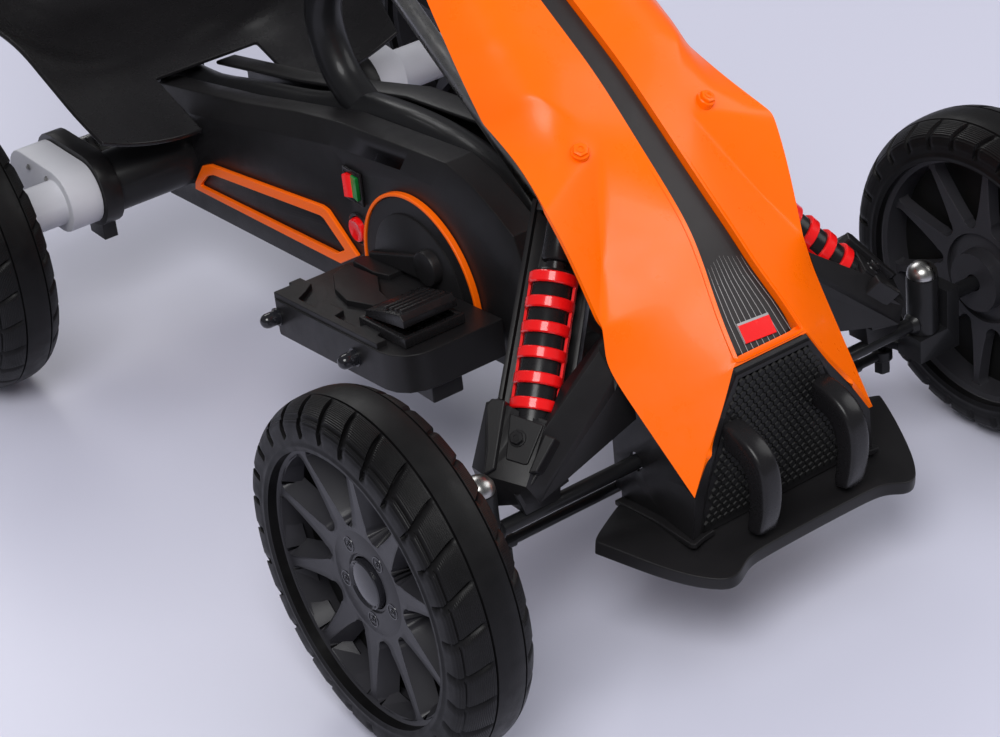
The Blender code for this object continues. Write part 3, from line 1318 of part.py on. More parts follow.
def build_seat():
    """A bucket seat, lip to back. Its front is open in the middle, where it sits astride the console."""
    notch = CONSOLE_HALF + CLEAR_GAP
    rows = []
    for j, (ahead, z, half, rise) in enumerate(SEAT_PROFILE):
        y = SEAT_REAR - ahead
        before = SEAT_PROFILE[max(j - 1, 0)]
        after = SEAT_PROFILE[min(j + 1, len(SEAT_PROFILE) - 1)]
        along = Vector((0, before[0] - after[0], after[1] - before[1])).normalized()
        inward = Vector((0, -along.z, along.y))
        across = [-share * half for share in SEAT_COLUMNS] + [-notch, notch]
        across += [share * half for share in reversed(SEAT_COLUMNS)]
        row = []
        for x in across:
            outside = max(0.0, (abs(x) - notch) / (half - notch))
            row.append(drawn(x, y, z) + inward * rise * outside ** 2)
        rows.append(row)
    columns = len(rows[0])
    points = [point for row in rows for point in row]
    middle = columns // 2 - 1
    faces = []
    for j in range(len(rows) - 1):
        for i in range(columns - 1):
            if j < SEAT_NOTCH_ROWS and i == middle:
                continue
            k = j * columns + i
            faces.append((k, k + 1, k + columns + 1, k + columns))
    used = sorted({i for face in faces for i in face})
    place = {old: new for new, old in enumerate(used)}
    faces = [tuple(place[i] for i in face) for face in faces]
    skin("seat", [points[i] for i in used], faces, BLACK, 0, SEAT_WALL, None, 40.0)
    build_seat_bracket()


def build_seat_bracket():
    """A plate under the seat on a saddle that sits on the spine tube."""
    y = SEAT_BRACKET_Y
    top = SEAT_FLOOR - SEAT_WALL - SEAT_GAP
    low = SPINE_REAR_Z - 0.006
    plate = box("seat_bracket", drawn(0, y, top - BRACKET_PLATE / 2), (0.110, 0.050, BRACKET_PLATE), STEEL)
    saddle_top = top - BRACKET_PLATE / 2
    saddle = box("saddle", drawn(0, y, (low + saddle_top) / 2), (0.046, 0.036, saddle_top - low), STEEL)
    join(plate, [saddle])
    reach = 0.10
    return cut(plate, [rod("spine_room", drawn(0, y - reach, SPINE_REAR_Z), drawn(0, y + reach, SPINE_REAR_Z),
                           SPINE_RADIUS + SEAT_GAP, STEEL)])


def build_electrics():
    """The battery and the control box, on the console's floor."""
    turn = Matrix.Rotation(-math.atan(0.0640), 3, "X")
    for name, y, size, material in (("battery", 0.445, BATTERY_SIZE, BLACK), ("controller", 0.300, CONTROLLER_SIZE, BLACK)):
        rise = CONSOLE_WALL + SEAT_GAP * 2 + size[2] / 2
        centre = drawn(0, y, console_floor(y)) + turn @ Vector((0, 0, rise))
        box(name, centre, size, material, turn)


def build_all():
    build_frame()
    for side in (-1, 1):
        build_wheel("front", side, FRONT_TRACK, 0)
        build_wheel("rear", side, REAR_TRACK, REAR_AXLE)
        build_knuckle(side)
        build_tie_rod(side)
    build_steering()
    build_rear_drive()
    build_fairing()
    build_nose()
    for side in (-1, 1):
        build_shock(side)
        build_axle_cover(side)
        build_console(side)
        build_side_dress(side)
        build_platform(side)
    build_switches()
    build_pedal()
    build_seat()
    build_electrics()


clear_scene()
build_all()
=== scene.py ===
"""Looks of the electric go-kart: finished pieces, materials, floor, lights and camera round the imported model."""
import json
import math

import bmesh
import bpy
from bpy.props import FloatProperty, FloatVectorProperty, IntProperty, PointerProperty
from mathutils import Matrix, Vector


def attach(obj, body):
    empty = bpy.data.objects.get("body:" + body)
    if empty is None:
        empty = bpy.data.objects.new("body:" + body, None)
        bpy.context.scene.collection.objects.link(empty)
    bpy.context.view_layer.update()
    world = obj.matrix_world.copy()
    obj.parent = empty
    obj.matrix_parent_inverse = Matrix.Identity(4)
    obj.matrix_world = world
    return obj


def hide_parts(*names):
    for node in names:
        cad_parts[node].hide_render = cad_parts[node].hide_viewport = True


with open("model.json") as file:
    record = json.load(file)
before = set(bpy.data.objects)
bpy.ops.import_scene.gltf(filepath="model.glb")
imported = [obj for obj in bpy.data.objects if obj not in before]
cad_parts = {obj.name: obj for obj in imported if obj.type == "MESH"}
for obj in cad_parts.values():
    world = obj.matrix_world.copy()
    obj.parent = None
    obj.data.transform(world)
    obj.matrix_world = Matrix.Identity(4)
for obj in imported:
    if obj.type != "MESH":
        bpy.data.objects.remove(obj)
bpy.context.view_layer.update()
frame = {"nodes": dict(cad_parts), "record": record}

bl_info = {
    "name": "Electric Go-Kart",
    "version": (1, 0, 0),
    "blender": (4, 5, 0),
    "location": "View3D > Sidebar > Go-Kart",
    "description": "Builds the finished pieces of an electric go-kart round its packed model",
    "category": "Object",
}

# Where the axles lie
AXLE_Z = 0.130
FRONT_AXLE_Y = -0.39725
WHEELBASE = 0.662
REAR_AXLE_Y = FRONT_AXLE_Y + WHEELBASE
WHEELS = {
    "front_right": (-0.281, FRONT_AXLE_Y),
    "front_left": (0.281, FRONT_AXLE_Y),
    "rear_right": (-0.270, REAR_AXLE_Y),
    "rear_left": (0.270, REAR_AXLE_Y),
}
SIDES = {"left": 1, "right": -1}

# Where the steering gear lies, as x or as y and z from the front axle's line
KINGPIN_X = 0.204
BEAM_Z = 0.121
CROSS_TUBE = (0.125, 0.133)
ROD_PINS = (0.034, 0.081)
STEERING_TILT = 36.0  # degrees
PITMAN_ARM = 0.034
BUSH_ALONG = 0.500
SHAFT_LENGTH = 0.575
CONSOLE_FACE_X = 0.0503


def mm(sizes):
    """Lengths in metres from millimetres, in lists of any depth."""
    return sizes / 1000 if isinstance(sizes, (int, float)) else [mm(size) for size in sizes]


def place(x, y, z):
    """A place written from the front axle's line: y towards the rear, z from the ground."""
    return Vector((x, FRONT_AXLE_Y + y, z))


# Mesh helpers

MERGE_POINTS = 0.00002
SHORTEST_EDGE = 0.00005
FLAT_ANGLE = 0.9  # degrees


def finish_mesh(name, builder, material, sharp=35.0, recalc=True):
    """Makes a bmesh into an object with smooth faces, marked sharp edges and the finishes that the keys name."""
    bmesh.ops.remove_doubles(builder, verts=builder.verts, dist=0.00001)
    if recalc:
        bmesh.ops.recalc_face_normals(builder, faces=builder.faces)
    mesh = bpy.data.meshes.new(name)
    builder.to_mesh(mesh)
    builder.free()
    mesh.shade_smooth()
    if sharp is not None:
        mesh.set_sharp_from_angle(angle=math.radians(sharp))
    made = bpy.data.objects.new(name, mesh)
    bpy.context.scene.collection.objects.link(made)
    for one in material if isinstance(material, list) else [material]:
        mesh.materials.append(finish(one) if isinstance(one, str) else one)
    return made


def all_of(builder):
    return builder.verts[:] + builder.edges[:] + builder.faces[:]


def turn_faces(builder, axis, way=1):
    """Gives a sheet's faces one sense, so that more of their area looks along an axis, or against it."""
    bmesh.ops.recalc_face_normals(builder, faces=builder.faces)
    if way * sum(getattr(face.normal, axis) * face.calc_area() for face in builder.faces) < 0:
        bmesh.ops.reverse_faces(builder, faces=builder.faces)


def thicken(piece, thickness, offset=-1.0):
    """Gives a sheet its wall, inward unless the offset says otherwise."""
    wall = piece.modifiers.new("thickness", "SOLIDIFY")
    wall.thickness = thickness
    wall.offset = offset


def subdivide(piece, levels):
    """Gives a coarse cage its smooth form."""
    smooth = piece.modifiers.new("smooth form", "SUBSURF")
    smooth.levels = levels
    smooth.render_levels = levels


def round_edges(piece, width, segments=2, angle=28.0):
    """Rounds a piece's edges with a live bevel whose normals keep the flats flat."""
    bevel = piece.modifiers.new("rounded edges", "BEVEL")
    bevel.width = width
    bevel.segments = segments
    bevel.limit_method = "ANGLE"
    bevel.angle_limit = math.radians(angle)
    bevel.use_clamp_overlap = True
    bevel.harden_normals = True
    bevel.miter_outer = "MITER_ARC"
    return piece


def merged_copy(node):
    """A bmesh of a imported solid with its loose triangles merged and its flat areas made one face."""
    builder = bmesh.new()
    builder.from_mesh(frame["nodes"][node].data)
    bmesh.ops.remove_doubles(builder, verts=builder.verts, dist=MERGE_POINTS)
    bmesh.ops.dissolve_degenerate(builder, dist=SHORTEST_EDGE, edges=builder.edges)
    bmesh.ops.dissolve_limit(builder, angle_limit=math.radians(FLAT_ANGLE), verts=builder.verts,
                             edges=builder.edges)
    return builder


def body_of(node):
    for body, nodes in frame["record"]["behaviour"]["bodies"].items():
        if node in nodes:
            return body
    raise RuntimeError(f"no body holds {node}")


def add_to(piece, node):
    """The piece is a detail that rides with a node."""
    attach(piece, body_of(node))


def stand_for(piece, node):
    """The piece replaces a node and rides on its body."""
    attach(piece, body_of(node))
    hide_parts(node)


def refined(name, node, material, width=0.0010, segments=2, angle=28.0):
    """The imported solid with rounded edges."""
    piece = finish_mesh(name, merged_copy(node), material, sharp=None, recalc=False)
    round_edges(piece, width, segments, angle)
    stand_for(piece, node)


def turned_matrix(centre, axis):
    """Carries the X axis to an axis and the zero point to a centre."""
    axis = Vector(axis).normalized()
    turn = Vector((1, 0, 0)).rotation_difference(axis).to_matrix().to_4x4()
    return Matrix.Translation(Vector(centre)) @ turn


def spin_profile(builder, profile, steps, matrix, closed=True):
    """Spins (along, radius) points round the X axis and carries the result to its place."""
    before = set(builder.verts)
    verts = [builder.verts.new((along, 0, radius)) for along, radius in profile]
    pairs = list(zip(verts, verts[1:]))
    if closed:
        pairs.append((verts[-1], verts[0]))
    edges = [builder.edges.new(pair) for pair in pairs]
    bmesh.ops.spin(builder, geom=verts + edges, cent=(0, 0, 0), axis=(1, 0, 0), angle=2 * math.pi,
                   steps=steps, use_merge=True)
    made = [vert for vert in builder.verts if vert not in before]
    bmesh.ops.transform(builder, matrix=matrix, verts=made)


def turned(name, profile, centre, axis, material, steps=48, closed=True, sharp=35.0):
    builder = bmesh.new()
    spin_profile(builder, profile, steps, turned_matrix(centre, axis), closed)
    return finish_mesh(name, builder, material, sharp)


def add_hex(builder, centre, axis, across, height, bevel=0.0006, socket=True):
    """A hexagonal head along an axis, with rounded edges and a small recess."""
    matrix = turned_matrix(centre, axis)
    before = set(builder.verts)
    shape = bmesh.ops.create_cone(builder, segments=6, radius1=across / 2, radius2=across / 2, depth=height,
                                  cap_ends=True, matrix=Matrix.Rotation(math.pi / 2, 4, "Y"))
    bmesh.ops.translate(builder, vec=(height / 2, 0, 0), verts=shape["verts"])
    edges = list({edge for vert in shape["verts"] for edge in vert.link_edges})
    bmesh.ops.bevel(builder, geom=edges, offset=bevel, segments=2, profile=0.5, affect="EDGES", material=-1)
    made = [vert for vert in builder.verts if vert not in before]
    bmesh.ops.transform(builder, matrix=matrix, verts=made)
    if socket:
        ring = [(height - 0.0002, 0), (height - 0.0002, across * 0.26), (height + 0.0006, across * 0.26),
                (height + 0.0006, across * 0.17), (height - 0.0004, across * 0.15), (height - 0.0004, 0)]
        spin_profile(builder, ring, 20, matrix, False)


def curve_tube(name, points, radius, material, resolution, caps=True):
    """A round tube along points, as a mesh."""
    data = bpy.data.curves.new(name, "CURVE")
    data.dimensions = "3D"
    data.bevel_depth = radius
    data.bevel_resolution = resolution
    data.use_fill_caps = caps
    spline = data.splines.new("POLY")
    spline.points.add(len(points) - 1)
    for spot, knot in zip(points, spline.points):
        knot.co = (*spot, 1.0)
    rail = bpy.data.objects.new(name + "_rail", data)
    bpy.context.scene.collection.objects.link(rail)
    bpy.context.view_layer.update()
    builder = bmesh.new()
    mesh = bpy.data.meshes.new_from_object(rail.evaluated_get(bpy.context.evaluated_depsgraph_get()))
    builder.from_mesh(mesh)
    bpy.data.objects.remove(rail, do_unlink=True)
    bpy.data.meshes.remove(mesh)
    return finish_mesh(name, builder, material, 50.0)


def merge_pieces(name, pieces):
    """One object that holds several pieces' meshes, each with its material."""
    builder = bmesh.new()
    slots = []
    for piece in pieces:
        mesh = piece.data
        for material in mesh.materials:
            if material not in slots:
                slots.append(material)
        order = [slots.index(material) for material in mesh.materials]
        before = len(builder.faces)
        builder.from_mesh(mesh)
        builder.faces.ensure_lookup_table()
        for i in range(before, len(builder.faces)):
            face = builder.faces[i]
            face.material_index = order[min(face.material_index, len(order) - 1)]
        bpy.data.objects.remove(piece, do_unlink=True)
    mesh = bpy.data.meshes.new(name)
    builder.to_mesh(mesh)
    builder.free()
    for material in slots:
        mesh.materials.append(material)
    made = bpy.data.objects.new(name, mesh)
    bpy.context.scene.collection.objects.link(made)
    return made


# Materials

PATTERN_LOW = 0.3
PATTERN_HIGH = 0.7


class Surface:
    """A material whose colour, roughness and relief are driven by patterns in the object's own coordinates."""

    def __init__(self, name, colour, roughness, metallic=0.0, specular=0.5):
        self.material = bpy.data.materials.new(name)
        self.material.use_nodes = True
        self.links = self.material.node_tree.links
        self.inputs = self.material.node_tree.nodes["Principled BSDF"].inputs
        self.inputs["Base Color"].default_value = (*colour, 1.0)
        for key, value in (("Roughness", roughness), ("Metallic", metallic), ("Specular IOR Level", specular)):
            self.inputs[key].default_value = value

    def add(self, kind, **values):
        """A node with its inputs' values, their names written in lower case with underscores."""
        node = self.material.node_tree.nodes.new("ShaderNode" + kind)
        for key, value in values.items():
            node.inputs[key.replace("_", " ").title()].default_value = value
        return node

    def noise(self, scale, detail=3.0, roughness=0.6, stretch=(1.0, 1.0, 1.0)):
        where = self.add("TexCoord")
        mapping = self.add("Mapping", scale=stretch)
        pattern = self.add("TexNoise", scale=scale, detail=detail, roughness=roughness)
        self.links.new(where.outputs["Object"], mapping.inputs["Vector"])
        self.links.new(mapping.outputs["Vector"], pattern.inputs["Vector"])
        return pattern.outputs["Fac"]

    def between(self, source, low, high):
        """Carries the middle of a pattern's range to another range."""
        ramp = self.add("MapRange", from_min=PATTERN_LOW, from_max=PATTERN_HIGH, to_min=low, to_max=high)
        self.links.new(source, ramp.inputs["Value"])
        return ramp.outputs["Result"]

    def tones(self, source, dark, light):
        """Drives the base colour between two tones."""
        share = self.between(source, 0.0, 1.0)
        mix = self.material.node_tree.nodes.new("ShaderNodeMix")
        mix.data_type = "RGBA"
        mix.inputs["A"].default_value = (*dark, 1.0)
        mix.inputs["B"].default_value = (*light, 1.0)
        self.links.new(share, mix.inputs["Factor"])
        self.links.new(mix.outputs["Result"], self.inputs["Base Color"])

    def roughen(self, source, low, high):
        self.links.new(self.between(source, low, high), self.inputs["Roughness"])

    def bump(self, source, distance, strength, below=None):
        """Adds relief by a pattern, over an earlier relief where one is given."""
        relief = self.add("Bump", distance=distance, strength=strength)
        self.links.new(source, relief.inputs["Height"])
        if below is not None:
            self.links.new(below, relief.inputs["Normal"])
        self.links.new(relief.outputs["Normal"], self.inputs["Normal"])
        return relief.outputs["Normal"]


def scaled_tone(colour, share, lift=0.0):
    return tuple(min(1.0, value * share + lift) for value in colour)


def moulded_plastic(name, colour, roughness, grain=1400.0, depth=0.00010, spread=0.18):
    """Injection-moulded plastic: fine spark grain, flow marks and light handling wear."""
    wear = 0.05
    surface = Surface(name, colour, roughness, specular=0.26)
    surface.tones(surface.noise(9.0, 4.0, 0.55), scaled_tone(colour, 1.0 - spread),
                  scaled_tone(colour, 1.0 + spread, 0.0015))
    surface.roughen(surface.noise(55.0, 5.0, 0.7), roughness - wear, roughness + wear)
    first = surface.bump(surface.noise(grain, 2.0, 0.6), depth, 0.7)
    surface.bump(surface.noise(14.0, 1.0, 0.4), 0.0006, 0.12, first)
    return surface.material


def painted(name, colour, roughness, coat=0.6):
    """A glossy finish with a faint orange peel and a clear top layer."""
    surface = Surface(name, colour, roughness, specular=0.20)
    surface.inputs["Coat Weight"].default_value = coat
    surface.inputs["Coat Roughness"].default_value = 0.06
    surface.tones(surface.noise(6.0, 3.0, 0.5), scaled_tone(colour, 0.95), scaled_tone(colour, 1.05))
    surface.roughen(surface.noise(30.0, 5.0, 0.7), roughness * 0.8, roughness * 1.3)
    surface.bump(surface.noise(420.0, 2.0, 0.5), 0.00003, 0.6)
    return surface.material


def zinc_plated(name):
    """Zinc-plated steel with a faint yellow and blue cast and fine drawing lines."""
    surface = Surface(name, (0.40, 0.40, 0.39), 0.34, metallic=1.0)
    surface.tones(surface.noise(60.0, 4.0, 0.6), (0.34, 0.34, 0.35), (0.46, 0.45, 0.42))
    lines = surface.noise(220.0, 4.0, 0.7, (1.0, 0.25, 0.25))
    surface.roughen(lines, 0.20, 0.42)
    surface.bump(lines, 0.00004, 0.5)
    return surface.material


def foam_rubber(name):
    """Moulded tyre foam: fine ribs round the tread, a dull skin and dust in the pores."""
    surface = Surface(name, (0.020, 0.019, 0.020), 0.55, specular=0.18)
    where = surface.add("TexCoord")
    ribs = surface.add("TexWave", scale=260.0, distortion=0.15, detail=1.0)
    ribs.wave_type = "BANDS"
    ribs.bands_direction = "X"
    ribs.wave_profile = "SIN"
    surface.links.new(where.outputs["Object"], ribs.inputs["Vector"])
    surface.tones(surface.noise(26.0, 5.0, 0.65), (0.0034, 0.0032, 0.0035), (0.0070, 0.0067, 0.0070))
    surface.roughen(surface.noise(90.0, 4.0, 0.6), 0.36, 0.52)
    mask = surface.add("Attribute")
    mask.attribute_name = "ribbed"
    scaled = surface.add("Math")
    scaled.operation = "MULTIPLY"
    surface.links.new(ribs.outputs["Fac"], scaled.inputs[0])
    surface.links.new(mask.outputs["Fac"], scaled.inputs[1])
    first = surface.bump(scaled.outputs["Value"], 0.00035, 0.8)
    surface.bump(surface.noise(900.0, 3.0, 0.6), 0.00012, 0.6, first)
    return surface.material


FINISHES = {
    "orange": lambda look: painted("orange_plastic", look.orange, 0.30, 0.04),
    "orange_trim": lambda look: moulded_plastic("orange_trim", look.orange, 0.32, 900.0, 0.00005, spread=0.04),
    "black": lambda look: moulded_plastic("black_plastic", look.black, 0.38),
    "black_smooth": lambda look: moulded_plastic("smooth_black_plastic", look.black, 0.27, 900.0, 0.00003),
    "gloss": lambda look: painted("gloss_black_steel", (0.010, 0.010, 0.011), 0.34, 0.12),
    "red": lambda look: painted("red_plastic", look.red, 0.26),
    "green": lambda look: painted("green_plastic", (0.01, 0.20, 0.035), 0.30),
    "tyre": lambda look: foam_rubber("tyre_foam_rubber"),
    "rim": lambda look: moulded_plastic("rim_plastic", (0.024, 0.0235, 0.027), 0.33, 1600.0, 0.00006),
    "hub": lambda look: painted("hub_cap_gloss", (0.013, 0.013, 0.016), 0.16, 0.6),
    "grey": lambda look: moulded_plastic("light_grey_nylon", look.grey, 0.46, 700.0, 0.00012, spread=0.06),
    "steel": lambda look: zinc_plated("zinc_steel"),
    "stripe": lambda look: moulded_plastic("stripe_grey", (0.026, 0.0235, 0.0235), 0.40, 1800.0, 0.00006),
    # Light grey for the stripe's printed pinstripes, and for the badge edge, where it is a painted highlight.
    "line": lambda look: moulded_plastic("light_line", (0.34, 0.33, 0.33), 0.45, 900.0, 0.00003),
    "stud": lambda look: moulded_plastic("grille_stud_black", (0.008, 0.0078, 0.0080), 0.50, 1800.0, 0.00006),
    # Near-black painted shade for the grille's backing and the rims' webs: it stands for the shadow seen through
    # the grille's holes and the rims' windows.
    "deep": lambda look: moulded_plastic("painted_shade_black", (0.004, 0.004, 0.004), 0.60, 1800.0, 0.00006),
    "grip": lambda look: moulded_plastic("grip_rubber", (0.020, 0.020, 0.021), 0.62, 700.0, 0.00025),
}


FINISH_CACHE = {}


def finish(key):
    """The finish of a kind of surface, made the first time that it is asked for."""
    made = FINISH_CACHE.get(key)
    if made is None:
        made = FINISHES[key](bpy.context.scene.gokart_look)
        FINISH_CACHE[key] = made
    return made


# Outlines

def smooth_step(p0, p1, p2, p3, t):
    """The place at a share t from p1 to p2 on a smooth curve through four knots."""
    return (2 * p1 + (p2 - p0) * t + (2 * p0 - 5 * p1 + 4 * p2 - p3) * t ** 2
            + (3 * p1 - p0 - 3 * p2 + p3) * t ** 3) / 2


def smoothed(points, steps):
    """Points on a smooth curve through the given points."""
    points = [Vector(point) for point in points]
    ends = [2 * points[0] - points[1], *points, 2 * points[-1] - points[-2]]
    made = []
    for knots in zip(ends, ends[1:], ends[2:], ends[3:]):
        made += [smooth_step(*knots, step / steps) for step in range(steps)]
    return made + [points[-1].copy()]


def pushed_outline(builder, outline, push):
    """A closed outline of places, pushed into a solid."""
    face = builder.faces.new([builder.verts.new(spot) for spot in outline])
    made = bmesh.ops.extrude_face_region(builder, geom=[face], use_keep_orig=True)
    top = [item for item in made["geom"] if isinstance(item, bmesh.types.BMVert)]
    bmesh.ops.translate(builder, vec=push, verts=top)


def plate(name, outline, push, material, bevel=0.0010, segments=2, angle=28.0):
    builder = bmesh.new()
    pushed_outline(builder, outline, Vector(push))
    piece = finish_mesh(name, builder, material, sharp=None)
    return round_edges(piece, bevel, segments, angle)


def rounded_cage(piece, thickness, width, offset=-1.0):
    """Gives a sheet of a few faces its thickness, soft edges and a smooth form."""
    thicken(piece, thickness, offset)
    edge = piece.modifiers.new("support edges", "BEVEL")
    edge.width = width
    edge.segments = 2
    edge.limit_method = "ANGLE"
    edge.angle_limit = math.radians(50.0)
    subdivide(piece, 3)
    for face in piece.data.polygons:
        face.use_smooth = True
    return piece


def side_outline(pairs, x):
    """Drawn (y, z) pairs at a distance from the middle plane."""
    return [place(x, y, z) for y, z in pairs]


# Wheels, with outlines as (out, radius) pairs: out is the distance from the wheel's middle plane

GROOVES = 29
TREAD_RADIUS = 0.126
CROWN_START = 0.1184
TYRE_CURVE = mm([
    (30, 99), (30.2, 108), (30, 114), (29, 118.5), (25.5, 122.2), (21.5, 125.2), (16.5, 127.7), (11, 129.2),
    (6.8, 129.7), (0, 130), (-6.8, 129.7), (-11, 129.2), (-16.5, 127.7), (-21.5, 125.2), (-25.5, 122.2),
    (-29, 118.5), (-30, 114), (-30.2, 108), (-30, 99),
])
TREAD_ROWS = mm((
    29, 28.2, 27.2, 26.3, 25.7, 25.1, 24.5, 23.4, 21.8, 20.2, 18.6, 17, 15.4, 13.8, 12.4, 11.2, 10, 9, 8, 7.5,
    6.9, 6.4, 4.5, 2, -1, -5, -9, -13, -15.8, -16.3, -16.9, -17.4, -18.4, -19.6, -21, -22.5, -24, -25.5, -27,
    -28.2, -29,
))
RING_GROOVES = (
    ((0.0064, 0.0), (0.0069, 1.0), (0.0075, 1.0), (0.0080, 0.0)),
    ((0.0245, 0.0), (0.0251, 0.8), (0.0257, 0.8), (0.0263, 0.0)),
    ((-0.0174, 0.0), (-0.0169, 1.0), (-0.0163, 1.0), (-0.0158, 0.0)),
)
RING_DEPTH = 0.0019
CUT_COLUMNS = ((0.0, 0.0), (0.0002, 1.0), (0.0010, 1.0), (0.0022, 0.60), (0.0038, 0.28), (0.0060, 0.0))


def between_knots(value, knots):
    """A value read off a line through (place, height) knots, 0 outside them."""
    for (a, low), (c, high) in zip(knots, knots[1:]):
        if a <= value <= c:
            return low + (high - low) * (value - a) / (c - a)
    return 0.0


def cut_angle(out):
    """Where a cross groove lies round the tyre, in degrees, at a distance from its middle."""
    if out >= 0.0072:
        return 103.2 + 4.6 * min(1.0, (out - 0.0072) / 0.0210) ** 1.6
    if out <= -0.0165:
        return 109.5 - 4.3 * min(1.0, (-0.0165 - out) / 0.0130)
    share = (0.0072 - out) / 0.0237
    return 103.2 + 6.3 * share * share * (3 - 2 * share)


def cut_reach(out):
    """How deep the cross grooves are at a distance from the middle, as a share."""
    outside = between_knots(out, ((0.0080, 0.0), (0.0112, 1.0), (0.0310, 1.0)))
    inside = between_knots(-out, ((0.0174, 0.0), (0.0196, 1.0), (0.0310, 1.0)))
    return max(outside, inside)


def tread_profile():
    """The (out, radius) points of the tyre's section, from its outer bead to its inner one."""
    fine = smoothed([(out, radius, 0) for out, radius in TYRE_CURVE], 12)
    crown_line = sorted((point.x, point.y) for point in fine if point.y > CROWN_START)
    profile = [(0.0296, 0.0990), (0.0299, 0.1010), (0.0306, 0.1022), (0.0306, 0.1034), (0.0300, 0.1046),
               (0.0301, 0.1068), (0.0302, 0.1080), (0.0302, 0.1100), (0.0301, 0.1120), (0.0300, 0.1142),
               (0.0297, 0.1165)]
    profile += [(out, between_knots(out, crown_line)) for out in TREAD_ROWS[1:-1]]
    profile += [(-0.0297, 0.1165), (-0.0300, 0.1142), (-0.0301, 0.1120), (-0.0302, 0.1100), (-0.0302, 0.1080),
                (-0.0301, 0.1068), (-0.0300, 0.1046), (-0.0306, 0.1034), (-0.0306, 0.1022), (-0.0299, 0.1010),
                (-0.0296, 0.0990)]
    return profile


def column_cut(column, columns, widen):
    """Where a column of the mesh lies after its cross groove's edge, as an angle, and the groove's share there."""
    scale = widen / TREAD_RADIUS
    if column < len(CUT_COLUMNS):
        along, share = CUT_COLUMNS[column]
        return along * scale, share
    cut_end = CUT_COLUMNS[-1][0] * scale
    left = columns - len(CUT_COLUMNS) + 1
    return cut_end + (2 * math.pi / GROOVES - cut_end) * (column - len(CUT_COLUMNS) + 1) / left, 0.0


def tread_mesh(look):
    """One treaded tyre round the X axis, its outer side towards +X: its columns lean with the cross grooves."""
    columns = look.tread_steps
    steps = GROOVES * columns
    builder = bmesh.new()
    spin_profile(builder, tread_profile(), steps, Matrix.Identity(4))
    bmesh.ops.remove_doubles(builder, verts=builder.verts, dist=0.00001)
    bmesh.ops.recalc_face_normals(builder, faces=builder.faces)
    ribbed = builder.verts.layers.float.new("ribbed")
    crown = look.wheel_radius / AXLE_Z
    for vert in builder.verts:
        out = vert.co.x
        radius = math.hypot(vert.co.y, vert.co.z)
        place_round = round(math.atan2(vert.co.z, vert.co.y) / (2 * math.pi) * steps) % steps
        block, column = divmod(place_round, columns)
        widen = 0.55 + 0.75 * min(1.0, abs(out) / 0.029)
        turn, share = column_cut(column, columns, widen)
        depth = look.groove_depth * share * cut_reach(out)
        side_cut = 0.0
        if radius > CROWN_START:
            depth = max(depth, RING_DEPTH * max(between_knots(out, knots) for knots in RING_GROOVES))
        else:
            side_cut = depth * between_knots(radius, ((0.1080, 0.0), (0.1100, 0.75), (0.1184, 0.75)))
            depth *= between_knots(radius, ((0.1110, 0.0), (0.1165, 0.8), (0.1184, 1.0)))
        shoulder = 0.0085 < out < 0.0290 or out < -0.0180
        vert[ribbed] = 1.0 if depth < 0.0002 and shoulder and radius > 0.1100 else 0.0
        angle = block * 2 * math.pi / GROOVES + turn + math.radians(cut_angle(out))
        vert.co.x = out - math.copysign(side_cut, out)
        vert.co.y = (radius - depth) * crown * math.cos(angle)
        vert.co.z = (radius - depth) * crown * math.sin(angle)
    mesh = bpy.data.meshes.new("tread")
    builder.to_mesh(mesh)
    builder.free()
    return mesh


def wheel_copy(mesh, label):
    """A bmesh of a wheel's piece carried to its axle, mirrored on the right side."""
    centre_x, centre_y = WHEELS[label]
    side = 1 if centre_x > 0 else -1
    builder = bmesh.new()
    builder.from_mesh(mesh)
    bmesh.ops.scale(builder, vec=(side, 1, 1), verts=builder.verts)
    if side < 0:
        bmesh.ops.reverse_faces(builder, faces=builder.faces)
    bmesh.ops.translate(builder, vec=(centre_x, centre_y, AXLE_Z), verts=builder.verts)
    return builder


def build_tyres(look):
    tread = tread_mesh(look)
    for label in WHEELS:
        piece = finish_mesh(f"tyre_{label}_tread", wheel_copy(tread, label), "tyre", 38.0, recalc=False)
        stand_for(piece, f"tyre_{label}")
    bpy.data.meshes.remove(tread)


def window_half(radius, tip_centre, tip_radius):
    """Half the width of a rim opening at a radius: a round tip near the hub that opens towards the lip."""
    outer = 0.0962
    if radius <= tip_centre - tip_radius or radius >= outer:
        return 0.0
    if radius < tip_centre:
        half = math.sqrt(tip_radius ** 2 - (tip_centre - radius) ** 2)
    else:
        share = (radius - tip_centre) / (outer - tip_centre)
        half = tip_radius + (0.0270 - tip_radius) * share ** 0.86
    fillet = 0.0075
    left = outer - radius
    if left < fillet:
        half -= fillet - math.sqrt(max(0.0, fillet ** 2 - (fillet - left) ** 2))
    return max(0.0, half)


def dish(radius):
    """How far the rim's face stands out from the wheel's middle plane."""
    share = max(0.0, (radius - 0.030) / 0.067)
    return 0.0160 + 0.0055 * share ** 1.4


def inner_face_of(spokes, centre_x, side):
    """The same spokes seen from the kart's side of the rim, flatter than the outer ones."""
    builder = bmesh.new()
    builder.from_mesh(spokes.data)
    for vert in builder.verts:
        out = (vert.co.x - centre_x) * side
        vert.co.x = centre_x - side * (0.0100 + 0.30 * (out - 0.0155))
    return builder


